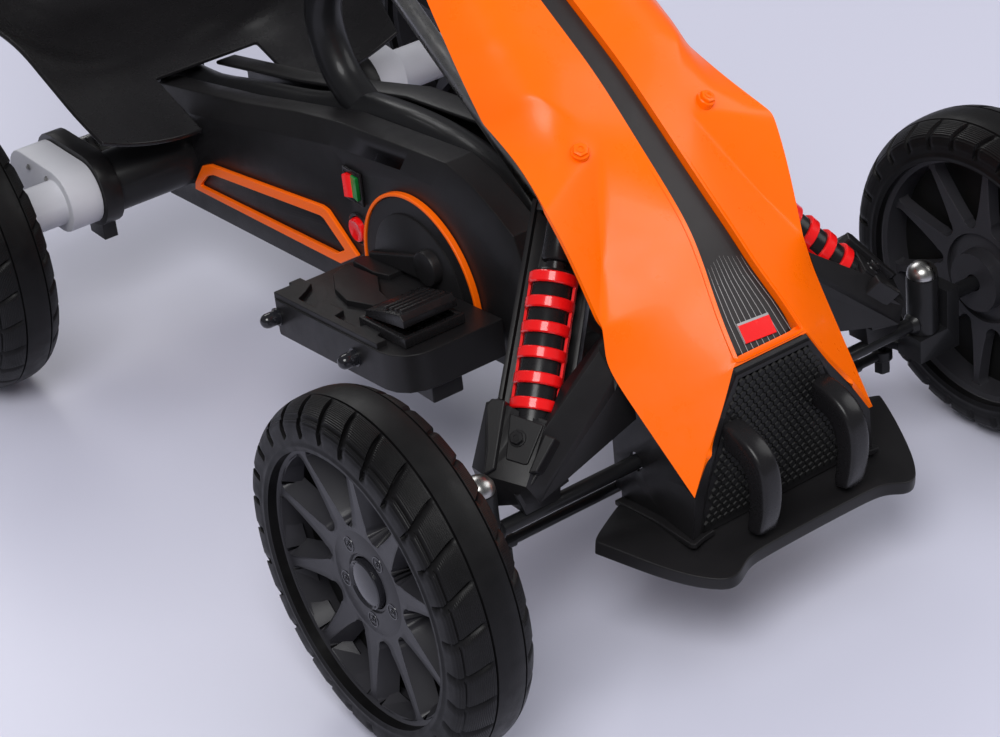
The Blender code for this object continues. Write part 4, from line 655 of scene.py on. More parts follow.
RIM_WEB = mm([(1, 30), (1, 94.5), (-2, 94.5), (-2, 30)])
RIM_BARREL = mm([
    (28, 99.8), (26.2, 100.3), (24, 100), (22.6, 99), (21.8, 97.2), (21.2, 95.2), (12, 93.8), (-12, 93.8),
    (-21.2, 95.2), (-22.6, 98.5), (-26.2, 100.3), (-28, 99.8), (-20, 99.6),
])
RIM_HUB = mm([
    (6, 39.5), (15.5, 39.5), (16.3, 38), (16.3, 21.5), (15, 20.5), (15, 19), (10, 18.5), (10, 6.8), (-24, 6.8),
    (-24, 23.5), (-12, 24.5), (-10.5, 39.5), (0, 39.5),
])
BOLT_COLLAR = mm([(0, 6), (0.9, 5.7), (0.9, 4.9), (-0.4, 4.5), (-0.4, 0)])
HUB_CAP = mm([
    (10, 0), (10, 17.6), (17.5, 18), (19.2, 17.6), (19.8, 16.6), (19, 15.6), (18.4, 15), (19, 12), (19.6, 7),
    (19.8, 0),
])
SPOKE_LOW = 0.0365
SPOKE_HIGH = 0.0980


def build_spokes(node, centre, side):
    """The ten spokes' outer face: half of one opening's border, mirrored, then copied round the hub."""
    builder = bmesh.new()
    bmesh.ops.create_grid(builder, x_segments=7, y_segments=72, size=1.0)
    sector = math.pi / 5
    for vert in builder.verts:
        across = (vert.co.x + 1) / 2
        along = (vert.co.y + 1) / 2
        radius = SPOKE_LOW + (SPOKE_HIGH - SPOKE_LOW) * along ** 1.25
        start = window_half(radius, 0.0500, 0.0078) / radius
        end = sector - window_half(radius, 0.0470, 0.0056) / radius
        angle = start + (end - start) * across
        edge = abs(across - 0.5) * 2
        ridge = 0.0007 if edge > 0.9 and end - start < sector * 0.98 else 0.0
        vert.co = (side * (dish(radius) + ridge), radius * math.cos(angle), radius * math.sin(angle))
    twin = bmesh.ops.duplicate(builder, geom=all_of(builder))
    twin_verts = [item for item in twin["geom"] if isinstance(item, bmesh.types.BMVert)]
    bmesh.ops.scale(builder, vec=(1, 1, -1), verts=twin_verts)
    bmesh.ops.spin(builder, geom=all_of(builder), cent=(0, 0, 0), axis=(1, 0, 0), angle=2 * math.pi * 4 / 5,
                   steps=4, use_duplicate=True)
    bmesh.ops.remove_doubles(builder, verts=builder.verts, dist=0.00006)
    bmesh.ops.dissolve_degenerate(builder, dist=0.00003, edges=builder.edges)
    bmesh.ops.rotate(builder, cent=(0, 0, 0), matrix=Matrix.Rotation(math.radians(39.0), 3, "X"),
                     verts=builder.verts)
    turn_faces(builder, "x", side)
    bmesh.ops.translate(builder, vec=centre, verts=builder.verts)
    spokes = finish_mesh(node + "_spokes", builder, "rim", 40.0, recalc=False)
    thicken(spokes, 0.0150)
    return round_edges(spokes, 0.0009, 2, 50.0)


def build_rim(label):
    centre_x, centre_y = WHEELS[label]
    side = 1 if centre_x > 0 else -1
    node = f"rim_{label}"
    centre = (centre_x, centre_y, AXLE_Z)

    def round_piece(name, pairs, material, steps, closed=True, sharp=30.0):
        return turned(name, [(out * side, radius) for out, radius in pairs], centre, (1, 0, 0), material, steps,
                      closed, sharp)
    spokes = build_spokes(node, centre, side)
    stand_for(spokes, node)
    inner_side = finish_mesh(node + "_inner_spokes", inner_face_of(spokes, centre_x, side), "rim", 40.0)
    thicken(inner_side, 0.0090, 0.0)
    round_edges(inner_side, 0.0009, 2, 50.0)
    add_to(inner_side, node)
    # The web is painted near-black as the shade seen inside the rim's windows.
    add_to(round_piece(node + "_web", RIM_WEB, "deep", 96), node)
    add_to(round_piece(node + "_lip", RIM_BARREL, "rim", 160, True, 40.0), node)
    add_to(round_piece(node + "_hub", RIM_HUB, "rim", 96), node)
    builder = bmesh.new()
    for k in range(5):
        angle = math.radians(53 - 72 * k)
        spot = Vector((centre_x + side * 0.0158, centre_y + 0.0285 * math.cos(angle),
                       AXLE_Z + 0.0285 * math.sin(angle)))
        spin_profile(builder, BOLT_COLLAR, 28, turned_matrix(spot, (side, 0, 0)), False)
        add_hex(builder, spot, (side, 0, 0), 0.0058, 0.0011, 0.0003)
    add_to(finish_mesh(node + "_bolts", builder, "hub", 35.0), node)
    stand_for(round_piece(f"hub_cap_{label}_disc", HUB_CAP, "hub", 72, False), f"hub_cap_{label}")


# Frame and steering

def spun_along(name, start, end, profile, material, steps=40):
    """A turned piece between two places, from (share of the length, radius) pairs."""
    start = Vector(start)
    end = Vector(end)
    length = (end - start).length
    pairs = [(share * length, radius) for share, radius in profile]
    return turned(name, pairs, start, end - start, material, steps, False)


def build_frame_tubes():
    spine = mm([
        (125, 133), (165, 152), (206, 204.5), (235, 226), (264, 234.8), (317, 238.8), (372, 236.4),
        (423, 228.7), (497, 206), (597, 185), (662, 171), (695, 167), (730, 166), (770, 166), (805, 166),
    ])
    pieces = [curve_tube("spine", smoothed([place(0, y, z) for y, z in spine], 6), 0.0175, "gloss", 9)]
    pieces.append(spun_along("cross", place(-0.049, *CROSS_TUBE), place(0.049, *CROSS_TUBE),
                             [(0, 0), (0, 0.0140), (0.02, 0.01575), (0.98, 0.01575), (1, 0.0140), (1, 0)], "gloss"))
    for side in (-1, 1):
        pieces.append(spun_along("rail", place(side * 0.040, *CROSS_TUBE), place(side * 0.040, 0, BEAM_Z),
                                 [(0, 0), (0, 0.009), (1, 0.009), (1, 0)], "gloss"))
        pieces.append(spun_along("sleeve", place(side * KINGPIN_X, 0, 0.112), place(side * KINGPIN_X, 0, 0.158),
                                 [(0, 0), (0, 0.0115), (0.03, 0.012), (0.97, 0.012), (1, 0.0115), (1, 0)], "gloss"))
        pieces.append(spun_along("weld", place(side * 0.1890, 0, BEAM_Z), place(side * 0.1950, 0, BEAM_Z),
                                 [(0, 0.0052), (0.3, 0.0070), (0.7, 0.0084), (1, 0.0080)], "gloss"))
    pieces.append(spun_along("beam", place(-0.2, 0, BEAM_Z), place(0.2, 0, BEAM_Z),
                             [(0, 0), (0, 0.0055), (1, 0.0055), (1, 0)], "gloss"))
    pieces.append(spun_along("axle_tube", place(-0.128, WHEELBASE, AXLE_Z), place(0.128, WHEELBASE, AXLE_Z),
                             [(0, 0.0068), (0, 0.026), (0.006, 0.027), (0.994, 0.027), (1, 0.026), (1, 0.0068)],
                             "gloss", 64))
    axis = steering_axis()
    bush = steering_start() + axis * BUSH_ALONG
    column = [place(0, 0.415, 0.230), place(0, 0.452, 0.256), place(0, 0.468, 0.300),
              bush + Vector((0, 0.030, -0.055)), bush]
    pieces.append(curve_tube("column", smoothed(column, 6), 0.0155, "gloss", 8))
    pieces.append(spun_along("bush", bush - axis * 0.015, bush + axis * 0.015,
                             [(0, 0.0086), (0, 0.0160), (0.05, 0.017), (0.95, 0.017), (1, 0.0160), (1, 0.0086)],
                             "gloss"))
    made = merge_pieces("main_frame_tubes", pieces)
    stand_for(made, "main_frame")
    refined("seat_bracket_plate", "seat_bracket", "gloss", 0.0008)


def steering_axis():
    tilt = math.radians(STEERING_TILT)
    return Vector((0, math.cos(tilt), math.sin(tilt)))


def steering_start():
    axis = steering_axis()
    return place(0, *ROD_PINS) - Vector((0, axis.z, -axis.y)) * PITMAN_ARM


def build_front_linkage():
    for word, side in SIDES.items():
        refined(f"knuckle_{word}_forging", f"knuckle_{word}", "gloss", 0.0008, 2, 32.0)
        dome = [(0.0, 0.0), (0.0, 0.0112), (0.0016, 0.0116), (0.0030, 0.0112), (0.0052, 0.0108), (0.0086, 0.0082),
                (0.0106, 0.0044), (0.0114, 0.0)]
        nut = turned(f"knuckle_{word}_nut", dome, place(side * KINGPIN_X, 0, 0.1582), (0, 0, 1), "steel", 40, False)
        add_to(nut, f"knuckle_{word}")
        outer = place(side * 0.194, *ROD_PINS)
        inner = place(side * 0.016, *ROD_PINS)
        bar = spun_along(f"tie_rod_{word}_bar", outer + (inner - outer).normalized() * 0.004, inner,
                         [(0, 0), (0, 0.0040), (0.12, 0.0040), (0.121, 0.0052), (0.18, 0.0052), (0.181, 0.0040),
                          (0.99, 0.0040), (1, 0.0034), (1, 0)], "gloss", 28)
        eye = turned(f"tie_rod_{word}_eye", [(-0.0045, 0.0038), (-0.0045, 0.0072), (-0.0037, 0.0080),
                                            (0.0037, 0.0080), (0.0045, 0.0072), (0.0045, 0.0038)],
                     outer, (0, 0, 1), "gloss", 36)
        stand_for(merge_pieces(f"tie_rod_{word}_rod", [bar, eye]), f"tie_rod_{word}")


def wheel_loop(middle, side, down):
    """The steering wheel's rim, flatter at its top, with a softer grip on each side."""
    steps = 96
    loop = []
    for k in range(steps):
        turn = 2 * math.pi * k / steps
        outward = math.sin(turn) * side - math.cos(turn) * down
        flat = 1.0 - 0.14 * max(0.0, -math.cos(turn)) ** 3
        loop.append(middle + outward * 0.1135 * flat)
    pieces = [curve_tube("rim_loop", loop + loop[:1], 0.0112, "black", 9, False)]
    for first, last in ((14, 34), (62, 82)):
        pieces.append(curve_tube("grip", loop[first:last + 1], 0.0123, "grip", 9))
    return pieces


def wheel_spoke(end, axis, direction):
    """A flat spoke that widens and rises towards the rim."""
    across = axis.cross(direction)
    path = mm([(16, 17, 0), (34, 12.5, 1.5), (60, 11, 4), (84, 11.8, 8.5), (104, 14.5, 12)])
    ring = []
    for way, stations in ((1, path), (-1, path[::-1])):
        for distance, half, lift in stations:
            ring.append(end + direction * distance + way * (across * half) + axis * (lift - 0.0045))
    builder = bmesh.new()
    pushed_outline(builder, ring, axis * 0.009)
    edges = [edge for edge in builder.edges if edge.calc_face_angle(0) > 0.6]
    bmesh.ops.bevel(builder, geom=edges, offset=0.0020, segments=3, profile=0.5, affect="EDGES", material=-1)
    return finish_mesh("spoke", builder, "black", 35.0)


def build_steering_gear():
    refined("steering_shaft_rod", "steering_shaft", "steel", 0.0006, 2, 40.0)
    axis = steering_axis()
    end = steering_start() + axis * SHAFT_LENGTH
    down = Vector((0, axis.z, -axis.y))
    side = Vector((1, 0, 0))
    pieces = wheel_loop(end + axis * 0.012, side, down)
    hub = mm([(-30, 8.6), (-30, 17), (-28, 19), (-6, 29), (-3, 30), (4.5, 30), (6, 28.5), (6, 8.6)])
    pieces.append(turned("hub", hub, end, axis, "black", 64))
    pieces += [wheel_spoke(end, axis, direction) for direction in (side, -side, down)]
    stand_for(merge_pieces("steering_wheel_rim", pieces), "steering_wheel")
    cap = mm([(6.3, 0), (6.3, 28), (9, 28), (13, 26.4), (16, 22.5), (18, 15), (17.8, 9), (18.2, 0)])
    stand_for(turned("steering_cap_cover", cap, end, axis, "black_smooth", 64, False), "steering_cap")


# Nose, with its nets of points as (x, y, z), y from the front axle's line

STRIPE_EDGE = mm([
    (10.8, 200, 440), (11.1, 146, 403.5), (11.2, 118, 384.8), (11.4, 88, 364.6), (12.4, 46.8, 328.1),
    (13.2, 5.7, 292.9), (16, -13.4, 273.1), (20.1, -29.7, 250.4), (25, -46.3, 231.7), (27.8, -63.2, 212.1),
])
CREST = mm([
    (52, 204, 449), (56, 148, 412.5), (57, 120, 393), (58, 90, 372.5), (39.7, 56.5, 333), (53.4, 41, 302.2),
    (70.7, 22.6, 268.8),
])
OUTER_EDGE = mm([
    (70, 212, 425), (88, 146, 378), (90, 118.5, 348.5), (91.5, 84, 335), (96.1, 58.7, 323.9),
    (100.6, 39.4, 314.4), (96.7, 22, 287), (90.3, 1.2, 235.4), (92.1, -2, 222), (94, -5, 208),
    (89.7, -29.4, 181), (85.4, -53.9, 153.9), (81.7, -74.8, 130.7),
])
FANG_EDGE = mm([(28.3, -63.3, 211.4), (32.9, -64, 207), (49.3, -68.9, 180.7), (66.3, -72.1, 157.2)])
FAIRING_FACES = [
    "s0 s1 c1 c0", "s1 s2 c2 c1", "s2 s3 c3 c2", "s3 s4 c4 c3", "s4 s5 c5 c4", "s5 s6 c6 c5", "s6 s7 o7 c6",
    "s7 s8 o8 o7", "s8 s9 o9 o8", "s9 f1 o10 o9", "f1 f2 o11 o10", "f2 f3 o12 o11",
    "c0 c1 o1 o0", "c1 c2 o1", "c2 c3 arch o1", "arch o2 o1", "c3 c4 bolt arch", "arch bolt o3 o2", "bolt o4 o3",
    "bolt c4 o5 o4", "c4 c5 o6 o5", "c5 c6 o7 o6",
]
POD_BOLT = mm((55.6, 56.9, 335.3))
STRIPE_SINK = Vector((0, 0.69, -0.72))


def crease_edges(builder, verts, chain, weight):
    """Keeps the edges along a chain of named vertices sharp to a degree."""
    layer = builder.edges.layers.float["crease_edge"]
    for first, second in zip(chain, chain[1:]):
        edge = builder.edges.get((verts[first], verts[second]))
        if edge is None:
            raise RuntimeError(f"no edge from {first} to {second}")
        edge[layer] = weight


def build_fairing():
    """The smooth hood: a main face beside the stripe, a creased flank outside it and a raised pod."""
    builder = bmesh.new()
    layer = builder.edges.layers.float.new("crease_edge")
    corner = builder.verts.layers.float.new("crease_vert")
    verts = {}
    for word, line in (("s", STRIPE_EDGE), ("c", CREST), ("o", OUTER_EDGE), ("f", FANG_EDGE)):
        for i, spot in enumerate(line):
            if word == "f" and i == 0:
                continue
            verts[f"{word}{i}"] = builder.verts.new(place(*spot))
    verts["bolt"] = builder.verts.new(place(POD_BOLT[0] + 0.004, POD_BOLT[1] - 0.002, POD_BOLT[2] + 0.0035))
    arch = (Vector(CREST[3]) + Vector(OUTER_EDGE[2])) / 2 + Vector((0.001, -0.002, 0.004))
    verts["arch"] = builder.verts.new(place(*arch))
    for i in range(len(STRIPE_EDGE)):
        verts[f"d{i}"] = builder.verts.new(place(*(Vector(STRIPE_EDGE[i]) + STRIPE_SINK * 0.009)))
    sunk = [f"s{i} d{i} d{i + 1} s{i + 1}" for i in range(len(STRIPE_EDGE) - 1)]
    for face in FAIRING_FACES + sunk:
        builder.faces.new([verts[key] for key in face.split()])
    crease_edges(builder, verts, [f"s{i}" for i in range(10)], 1.0)
    crease_edges(builder, verts, ["s9", "f1"], 0.9)
    crease_edges(builder, verts, ["c4", "c5", "c6", "o7"], 0.55)
    crease_edges(builder, verts, ["c3", "c4", "o5"], 0.42)
    crease_edges(builder, verts, ["c3", "arch", "o2"], 0.55)
    for key in ("o12", "f3", "f1", "s9", "d9", "o0", "s0"):
        verts[key][corner] = 1.0
    half = all_of(builder)
    bmesh.ops.mirror(builder, geom=half, matrix=Matrix.Identity(4), merge_dist=0.0, axis="X")
    bmesh.ops.remove_doubles(builder, verts=builder.verts, dist=0.00001)
    pairs = {}
    for vert in builder.verts:
        pairs[(round(vert.co.x, 5), round(vert.co.y, 5), round(vert.co.z, 5))] = vert

    def twin(vert):
        return pairs[(round(-vert.co.x, 5), round(vert.co.y, 5), round(vert.co.z, 5))]
    s9, f1, d9 = verts["s9"], verts["f1"], verts["d9"]
    builder.faces.new((s9, twin(s9), twin(f1), f1))
    builder.faces.new((d9, twin(d9), twin(s9), s9))
    for first, second in ((s9, twin(s9)), (s9, d9), (twin(s9), twin(d9)), (twin(s9), twin(f1))):
        builder.edges.get((first, second))[layer] = 1.0
    turn_faces(builder, "z")
    shell = finish_mesh("nose_fairing_shell", builder, "orange", None, recalc=False)
    subdivide(shell, 4)
    thicken(shell, 0.0030)
    round_edges(shell, 0.0007, 2, 50.0)
    stand_for(shell, "nose_fairing")


def build_pod_bolts():
    """A domed collar and a hexagonal head on each pod."""
    builder = bmesh.new()
    for side in SIDES.values():
        spot = place(side * POD_BOLT[0], POD_BOLT[1], POD_BOLT[2])
        normal = Vector((side * 0.20, -0.52, 0.83)).normalized()
        ring = [(-0.004, 0.0068), (0.0012, 0.0066), (0.0018, 0.0060), (0.0018, 0.0)]
        spin_profile(builder, ring, 36, turned_matrix(spot, normal), False)
        add_hex(builder, spot + normal * 0.0014, normal, 0.0112, 0.0028, 0.0005)
    add_to(finish_mesh("nose_fairing_bolts", builder, "orange", 30.0), "nose_fairing")


def stripe_row(share):
    """Half width and middle of the stripe's face at a place along it, counted in rows of its edge."""
    i = min(int(share), len(STRIPE_EDGE) - 2)
    spot = Vector(STRIPE_EDGE[i]).lerp(Vector(STRIPE_EDGE[i + 1]), share - i)
    half = spot.x - 0.0005
    spot.x = 0
    return half, place(*(spot + STRIPE_SINK * 0.0060))


def build_stripe():
    """The dark panel that lies sunk between the fairing's two halves."""
    builder = bmesh.new()
    rows = []
    for i in range(len(STRIPE_EDGE)):
        half, spot = stripe_row(i)
        rows.append([builder.verts.new(spot + Vector((share * half, 0, 0))) for share in (-1, -0.5, 0, 0.5, 1)])
    for first, second in zip(rows, rows[1:]):
        for k in range(4):
            builder.faces.new((first[k], first[k + 1], second[k + 1], second[k]))
    turn_faces(builder, "z")
    panel = finish_mesh("nose_stripe_panel", builder, "stripe", None, recalc=False)
    subdivide(panel, 3)
    thicken(panel, 0.0026)
    stand_for(panel, "nose_stripe")


def build_stripe_lines():
    """Eleven thin light lines that run down the foot of the stripe."""
    builder = bmesh.new()
    rise = Vector((0, -0.69, 0.72)) * 0.00045
    for k in range(11):
        share = -0.90 + 0.18 * k
        start = 6.35 + 0.25 * abs(share)
        verts = []
        for step in range(25):
            half, spot = stripe_row(start + (8.96 - start) * step / 24)
            spot = spot + Vector((half * share, 0, 0)) + rise
            wide = 0.00022 * min(1.0, 0.25 + step / 8)
            verts.append([builder.verts.new(spot + Vector((way * wide, 0, 0))) for way in (-1, 1)])
        for first, second in zip(verts, verts[1:]):
            builder.faces.new((first[0], first[1], second[1], second[0]))
    turn_faces(builder, "z")
    add_to(finish_mesh("nose_stripe_lines", builder, "line", None, recalc=False), "nose_stripe")


def build_badge():
    """A bare plate with a light edge at the stripe's foot, turned a little as in the photograph: the light edge is
    a painted highlight along the plate's top.
    """
    spot = stripe_row(8.50)[1]
    along = (stripe_row(8.9)[1] - stripe_row(8.1)[1]).normalized()
    normal = Vector((1, 0, 0)).cross(along).normalized()
    if normal.z < 0:
        normal = -normal
    turn = Matrix.Rotation(math.radians(-4.0), 3, normal)
    across = turn @ Vector((1, 0, 0))
    along = turn @ along
    spot += normal * 0.0002
    # The light edge plate shows as a thin strip above the red plate: a painted highlight of the badge's bevel.
    for name, key, wide, tall, shift, high in (("nose_badge_painted_highlight", "line", 0.0135, 0.0072, -0.0009, 0.0010),
                                              ("nose_badge_plate", "red", 0.0133, 0.0066, 0.0002, 0.0014)):
        outline = []
        for u, v in ((-1, -1), (1, -1), (1, 1), (-1, 1)):
            outline.append(spot + across * u * wide + along * (v * tall + shift))
        add_to(plate(name, outline, normal * high, key, 0.0003), "nose_stripe")


def splitter_top(y):
    """The height of the splitter's deck, which falls towards the rear."""
    return 0.0917 - 0.134 * (y + 0.0715)


SPLITTER_EDGE = mm([
    (0, -103, 89), (30, -103.3, 89), (50, -103.8, 89), (62, -105.2, 88.9), (70, -109, 88), (77.5, -112.6, 86.4),
    (86, -112.4, 85.5), (94, -105, 85.8), (104, -91.5, 87.2), (115, -71, 90.5), (125, -48.5, 95),
    (131, -33.5, 97.2), (133, -28, 97.8), (128.5, -22.5, 96.5), (104, -4, 90), (74.5, 19.5, 79.5),
])
SPLITTER_ROOT = mm([
    (0, -60), (26, -60), (44, -60), (54, -60), (61, -61), (67, -62), (70, -60), (71.5, -56), (72.5, -50),
    (73, -40), (72, -26), (71, -16), (70.5, -10), (70, -4), (69, 7), (68, 19.5),
])


def build_splitter():
    """The deck with its forward wings, and the raised step round the nose body's foot."""
    builder = bmesh.new()
    outer = [builder.verts.new(place(*spot)) for spot in SPLITTER_EDGE]
    root = [builder.verts.new(place(x, y, splitter_top(y))) for x, y in SPLITTER_ROOT]
    for i in range(len(outer) - 1):
        builder.faces.new((outer[i], outer[i + 1], root[i + 1], root[i]))
    bmesh.ops.mirror(builder, geom=all_of(builder), matrix=Matrix.Identity(4),
                     merge_dist=0.00001, axis="X")
    bmesh.ops.remove_doubles(builder, verts=builder.verts, dist=0.00001)
    turn_faces(builder, "z")
    deck = finish_mesh("splitter_deck", builder, "black", None, recalc=False)
    stand_for(rounded_cage(deck, 0.0105, 0.0014), "splitter")
    for word, side in SIDES.items():
        foot = [(0.0795, 0.0195), (0.0812, -0.0290), (0.0872, -0.0735), (0.0850, -0.0768), (0.0735, -0.0735),
                (0.0640, -0.0722), (0.0640, -0.0690), (0.0720, -0.0690), (0.0720, 0.0195)]
        outline = [place(side * x, y, splitter_top(y) - 0.0010) for x, y in foot]
        step = plate(f"splitter_{word}_step", outline, (0, 0, 0.0044), "black", 0.0010, 2, 30.0)
        add_to(step, "splitter")


def build_bull_bars():
    """Two flat hoops that stand on the splitter and lean back to the grille."""
    outer = [(-0.1000, splitter_top(-0.1015) - 0.002), (-0.1075, 0.1150), (-0.1095, 0.1400), (-0.1040, 0.1560),
             (-0.0900, 0.1670), (-0.0645, 0.1715)]
    inner = [(-0.0850, splitter_top(-0.0850) - 0.002), (-0.0885, 0.1080), (-0.0905, 0.1240), (-0.0880, 0.1390),
             (-0.0800, 0.1470), (-0.0645, 0.1490)]
    for word, side in SIDES.items():
        builder = bmesh.new()
        far = [builder.verts.new(spot) for spot in side_outline(outer, side * 0.0400)]
        near = [builder.verts.new(spot) for spot in side_outline(inner, side * 0.0400)]
        for i in range(len(far) - 1):
            builder.faces.new((far[i], far[i + 1], near[i + 1], near[i]))
        bmesh.ops.recalc_face_normals(builder, faces=builder.faces)
        bar = finish_mesh(f"bull_bar_{word}_hoop", builder, "black_smooth", None, recalc=False)
        stand_for(rounded_cage(bar, 0.0182, 0.0042, 0.0), f"bull_bar_{word}")


def build_nose():
    refined("nose_body_shell", "nose_body", "black", 0.0014, 3, 24.0)
    build_splitter()
    build_grille()
    build_grille_frame()
    build_bull_bars()


def build_grille():
    """A mesh of six-sided studs on a backing painted near-black as the shade between them."""
    face = FRONT_AXLE_Y - 0.0672
    mesh_low, mesh_high = 0.0935, 0.2030
    half_low, half_high = 0.0715, 0.0330
    builder = bmesh.new()
    outline = [(half_high, mesh_high), (half_low, mesh_low), (-half_low, mesh_low), (-half_high, mesh_high)]
    pushed_outline(builder, [Vector((x, face + 0.0012, z)) for x, z in outline], Vector((0, 0.0018, 0)))
    # The backing's near-black finish is painted shade: the shadow seen between the studs.
    backing = finish_mesh("grille_painted_shade_backing", builder, "deep", 30.0)
    stand_for(backing, "grille")
    builder = bmesh.new()
    pitch = bpy.context.scene.gokart_look.grille_pitch
    row_height = pitch * 0.80
    rows = int((mesh_high - mesh_low) / row_height)
    turn = Matrix.Rotation(math.radians(90.0 + 10.0), 4, "X")
    for row in range(1, rows):
        z = mesh_low + row * row_height
        half = half_low + (half_high - half_low) * (z - mesh_low) / (mesh_high - mesh_low) - 0.0015
        offset = pitch / 2 if row % 2 else 0.0
        count = int(half / pitch) + 1
        for k in range(-count, count + 1):
            x = k * pitch + offset
            if abs(x) > half:
                continue
            matrix = Matrix.Translation((x, face + 0.0004, z)) @ turn
            bmesh.ops.create_cone(builder, cap_ends=True, segments=6, radius1=0.57 * pitch, radius2=0.46 * pitch,
                                  depth=0.0026, matrix=matrix)
    add_to(finish_mesh("grille_studs", builder, "stud", 20.0), "grille")


def build_grille_frame():
    """The frame that slopes in to the grille from the fairing's lower edge."""
    edge = mm([
        (32.9, -63, 206.2), (49.3, -67, 179.5), (66.3, -70.5, 156), (79.5, -73, 131.5), (82.2, -71.5, 92.5),
    ])
    near = mm([(31.2, -65, 201.5), (43.2, -65, 169), (52.8, -65, 143), (61, -65, 120), (69, -65, 95.5)])
    builder = bmesh.new()
    outer = [builder.verts.new(place(x, y, z)) for x, y, z in edge]
    middle = [builder.verts.new(place(*(Vector(a).lerp(Vector(b), 0.55) + Vector((0, -0.0018, 0)))))
              for a, b in zip(edge, near)]
    inner = [builder.verts.new(place(x, y, z)) for x, y, z in near]
    for first, second in ((outer, middle), (middle, inner)):
        for i in range(len(edge) - 1):
            builder.faces.new((first[i], first[i + 1], second[i + 1], second[i]))
    half_geom = all_of(builder)
    mirrored = bmesh.ops.mirror(builder, geom=half_geom, matrix=Matrix.Identity(4), merge_dist=0.0, axis="X")
    tops = [outer[0], middle[0], inner[0]]
    copies = [item for item in mirrored["geom"] if isinstance(item, bmesh.types.BMVert)]

    def twin(vert):
        return min(copies, key=lambda other: (other.co - Vector((-vert.co.x, vert.co.y, vert.co.z))).length)
    for first, second in zip(tops, tops[1:]):
        builder.faces.new((first, second, twin(second), twin(first)))
    turn_faces(builder, "y", -1)
    frame_piece = finish_mesh("grille_frame", builder, "black", None, recalc=False)
    thicken(frame_piece, 0.0016)
    round_edges(frame_piece, 0.0006, 2, 20.0)
    add_to(frame_piece, "nose_body")


# Front suspension, with corners as (x, y, z), y from the front axle's line

def shock_line(side):
    start = Vector((0.1475, 0.0150, 0.1720))
    axis = Vector((-0.56, 0.385, 0.73)).normalized()
    wide = axis.cross(Vector((0, 0, 1))).normalized()
    face = wide.cross(axis).normalized()
    if face.z < 0:
        face = -face

    def local(along, across, out):
        spot = start + axis * along + wide * across + face * out
        return place(side * spot.x, spot.y, spot.z)
    return local


def build_suspension():
    for word, side in SIDES.items():
        local = shock_line(side)
        start = local(0, 0, 0)
        axis = (local(1, 0, 0) - start).normalized()
        body = [(0, 0), (0, 0.0130), (0.0012, 0.01425), (0.1105, 0.01425), (0.1125, 0.0130), (0.1135, 0.0070),
                (0.1185, 0.0070), (0.1195, 0.0100), (0.1210, 0.0108), (0.160, 0.0108), (0.160, 0)]
        cylinder = turned(f"shock_{word}_cylinder", body, start, axis, "black_smooth", 56, False)
        stand_for(cylinder, f"shock_{word}")
        builder = bmesh.new()
        matrix = turned_matrix(start, axis)
        for k in range(6):
            middle = 0.0180 + k * 0.0176
            half = 0.0040
            ring = [(middle - half, 0.01450), (middle - half, 0.0164), (middle - half + 0.0009, 0.01725),
                    (middle + half - 0.0009, 0.01725), (middle + half, 0.0164), (middle + half, 0.01450)]
            spin_profile(builder, ring, 64, matrix)
        rings = finish_mesh("rings", builder, "red", 35.0)
        ribs = []
        for way in (-1, 1):
            rib = bmesh.new()
            low, high = 0.0180, 0.1060
            near, far = way * 0.0150, way * 0.01690
            corners = ((near, -0.0022), (far, -0.0022), (far, 0.0018), (near, 0.0018))
            outline = [local(low, across, out) for across, out in corners]
            pushed_outline(rib, outline, axis * (high - low))
            ribs.append(finish_mesh("rib", rib, "red", 30.0))
        stand_for(merge_pieces(f"shock_cage_{word}_rings", [rings, *ribs]), f"shock_cage_{word}")
        refined(f"axle_cover_{word}_moulding", f"axle_cover_{word}", "black", 0.0011, 2, 24.0)
        build_cover_end(word, side)


COVER_PANEL = mm([
    (159.1, 20.9, 190.7), (148.3, -1.7, 186.5), (167.6, -6.6, 166.4), (169.4, -4.8, 165.9), (175.7, 7.2, 167.8),
])
COVER_BASE = mm([
    (158, 26.2, 195), (145, -3, 190), (160.2, -13.5, 168.8), (174.9, -15.2, 154.8), (183.9, 9.4, 161.8),
])
COVER_WALLS = mm((
    [(167, 35.9, 192.8), (162.2, 35.5, 196.9), (156.7, 26.9, 196.5), (183.2, 9, 162.1), (190.3, 13, 158.3),
     (179, 21.5, 173.5)],
    [(150.5, -6.3, 181.8), (147.2, -13.7, 180.2), (165.8, -15.3, 162.7), (170, -10.9, 161.7)],
))


def build_cover_end(word, side):
    """The walled seat at an axle cover's lower end, with its five-sided panel and bolt."""
    normal = Vector((side * 0.6, -0.413, 0.679)).normalized()
    middle = place(side * 0.162, 0.009, 0.1765)

    def lifted(corners, height):
        made = []
        for x, y, z in corners:
            spot = place(side * x, y, z)
            made.append(spot - normal * ((spot - middle).dot(normal) - height))
        return made
    node = f"axle_cover_{word}"
    add_to(plate(f"{node}_panel", lifted(COVER_PANEL, -0.003), normal * 0.0045, "black", 0.0009, 2, 25.0), node)
    add_to(plate(f"{node}_seat", lifted(COVER_BASE, -0.013), normal * 0.0105, "black", 0.0012, 2, 25.0), node)
    for i, corners in enumerate(COVER_WALLS):
        wall = plate(f"{node}_wall_{i + 1}", lifted(corners, -0.018), normal * 0.0225, "black", 0.0012, 3, 25.0)
        add_to(wall, node)
    builder = bmesh.new()
    spot = middle + normal * 0.0012
    spin_profile(builder, [(0.0, 0.0062), (0.0012, 0.0058), (0.0014, 0.0)], 32, turned_matrix(spot, normal), False)
    add_hex(builder, spot + normal * 0.0010, normal, 0.0100, 0.0034, 0.0006)
    add_to(finish_mesh(f"{node}_bolt", builder, "black_smooth", 22.0), node)


# Console, switches and foot rests, with side outlines as (y, z) and foot rest outlines as (x, y)

DISC_Y = 0.283
DISC_Z = 0.144


def arc(radius, start, end, steps):
    """Drawn (y, z) pairs on a circle round the side disc's middle."""
    turns = [start + (end - start) * k / steps for k in range(steps + 1)]
    return [(DISC_Y + radius * math.cos(turn), DISC_Z + radius * math.sin(turn)) for turn in turns]


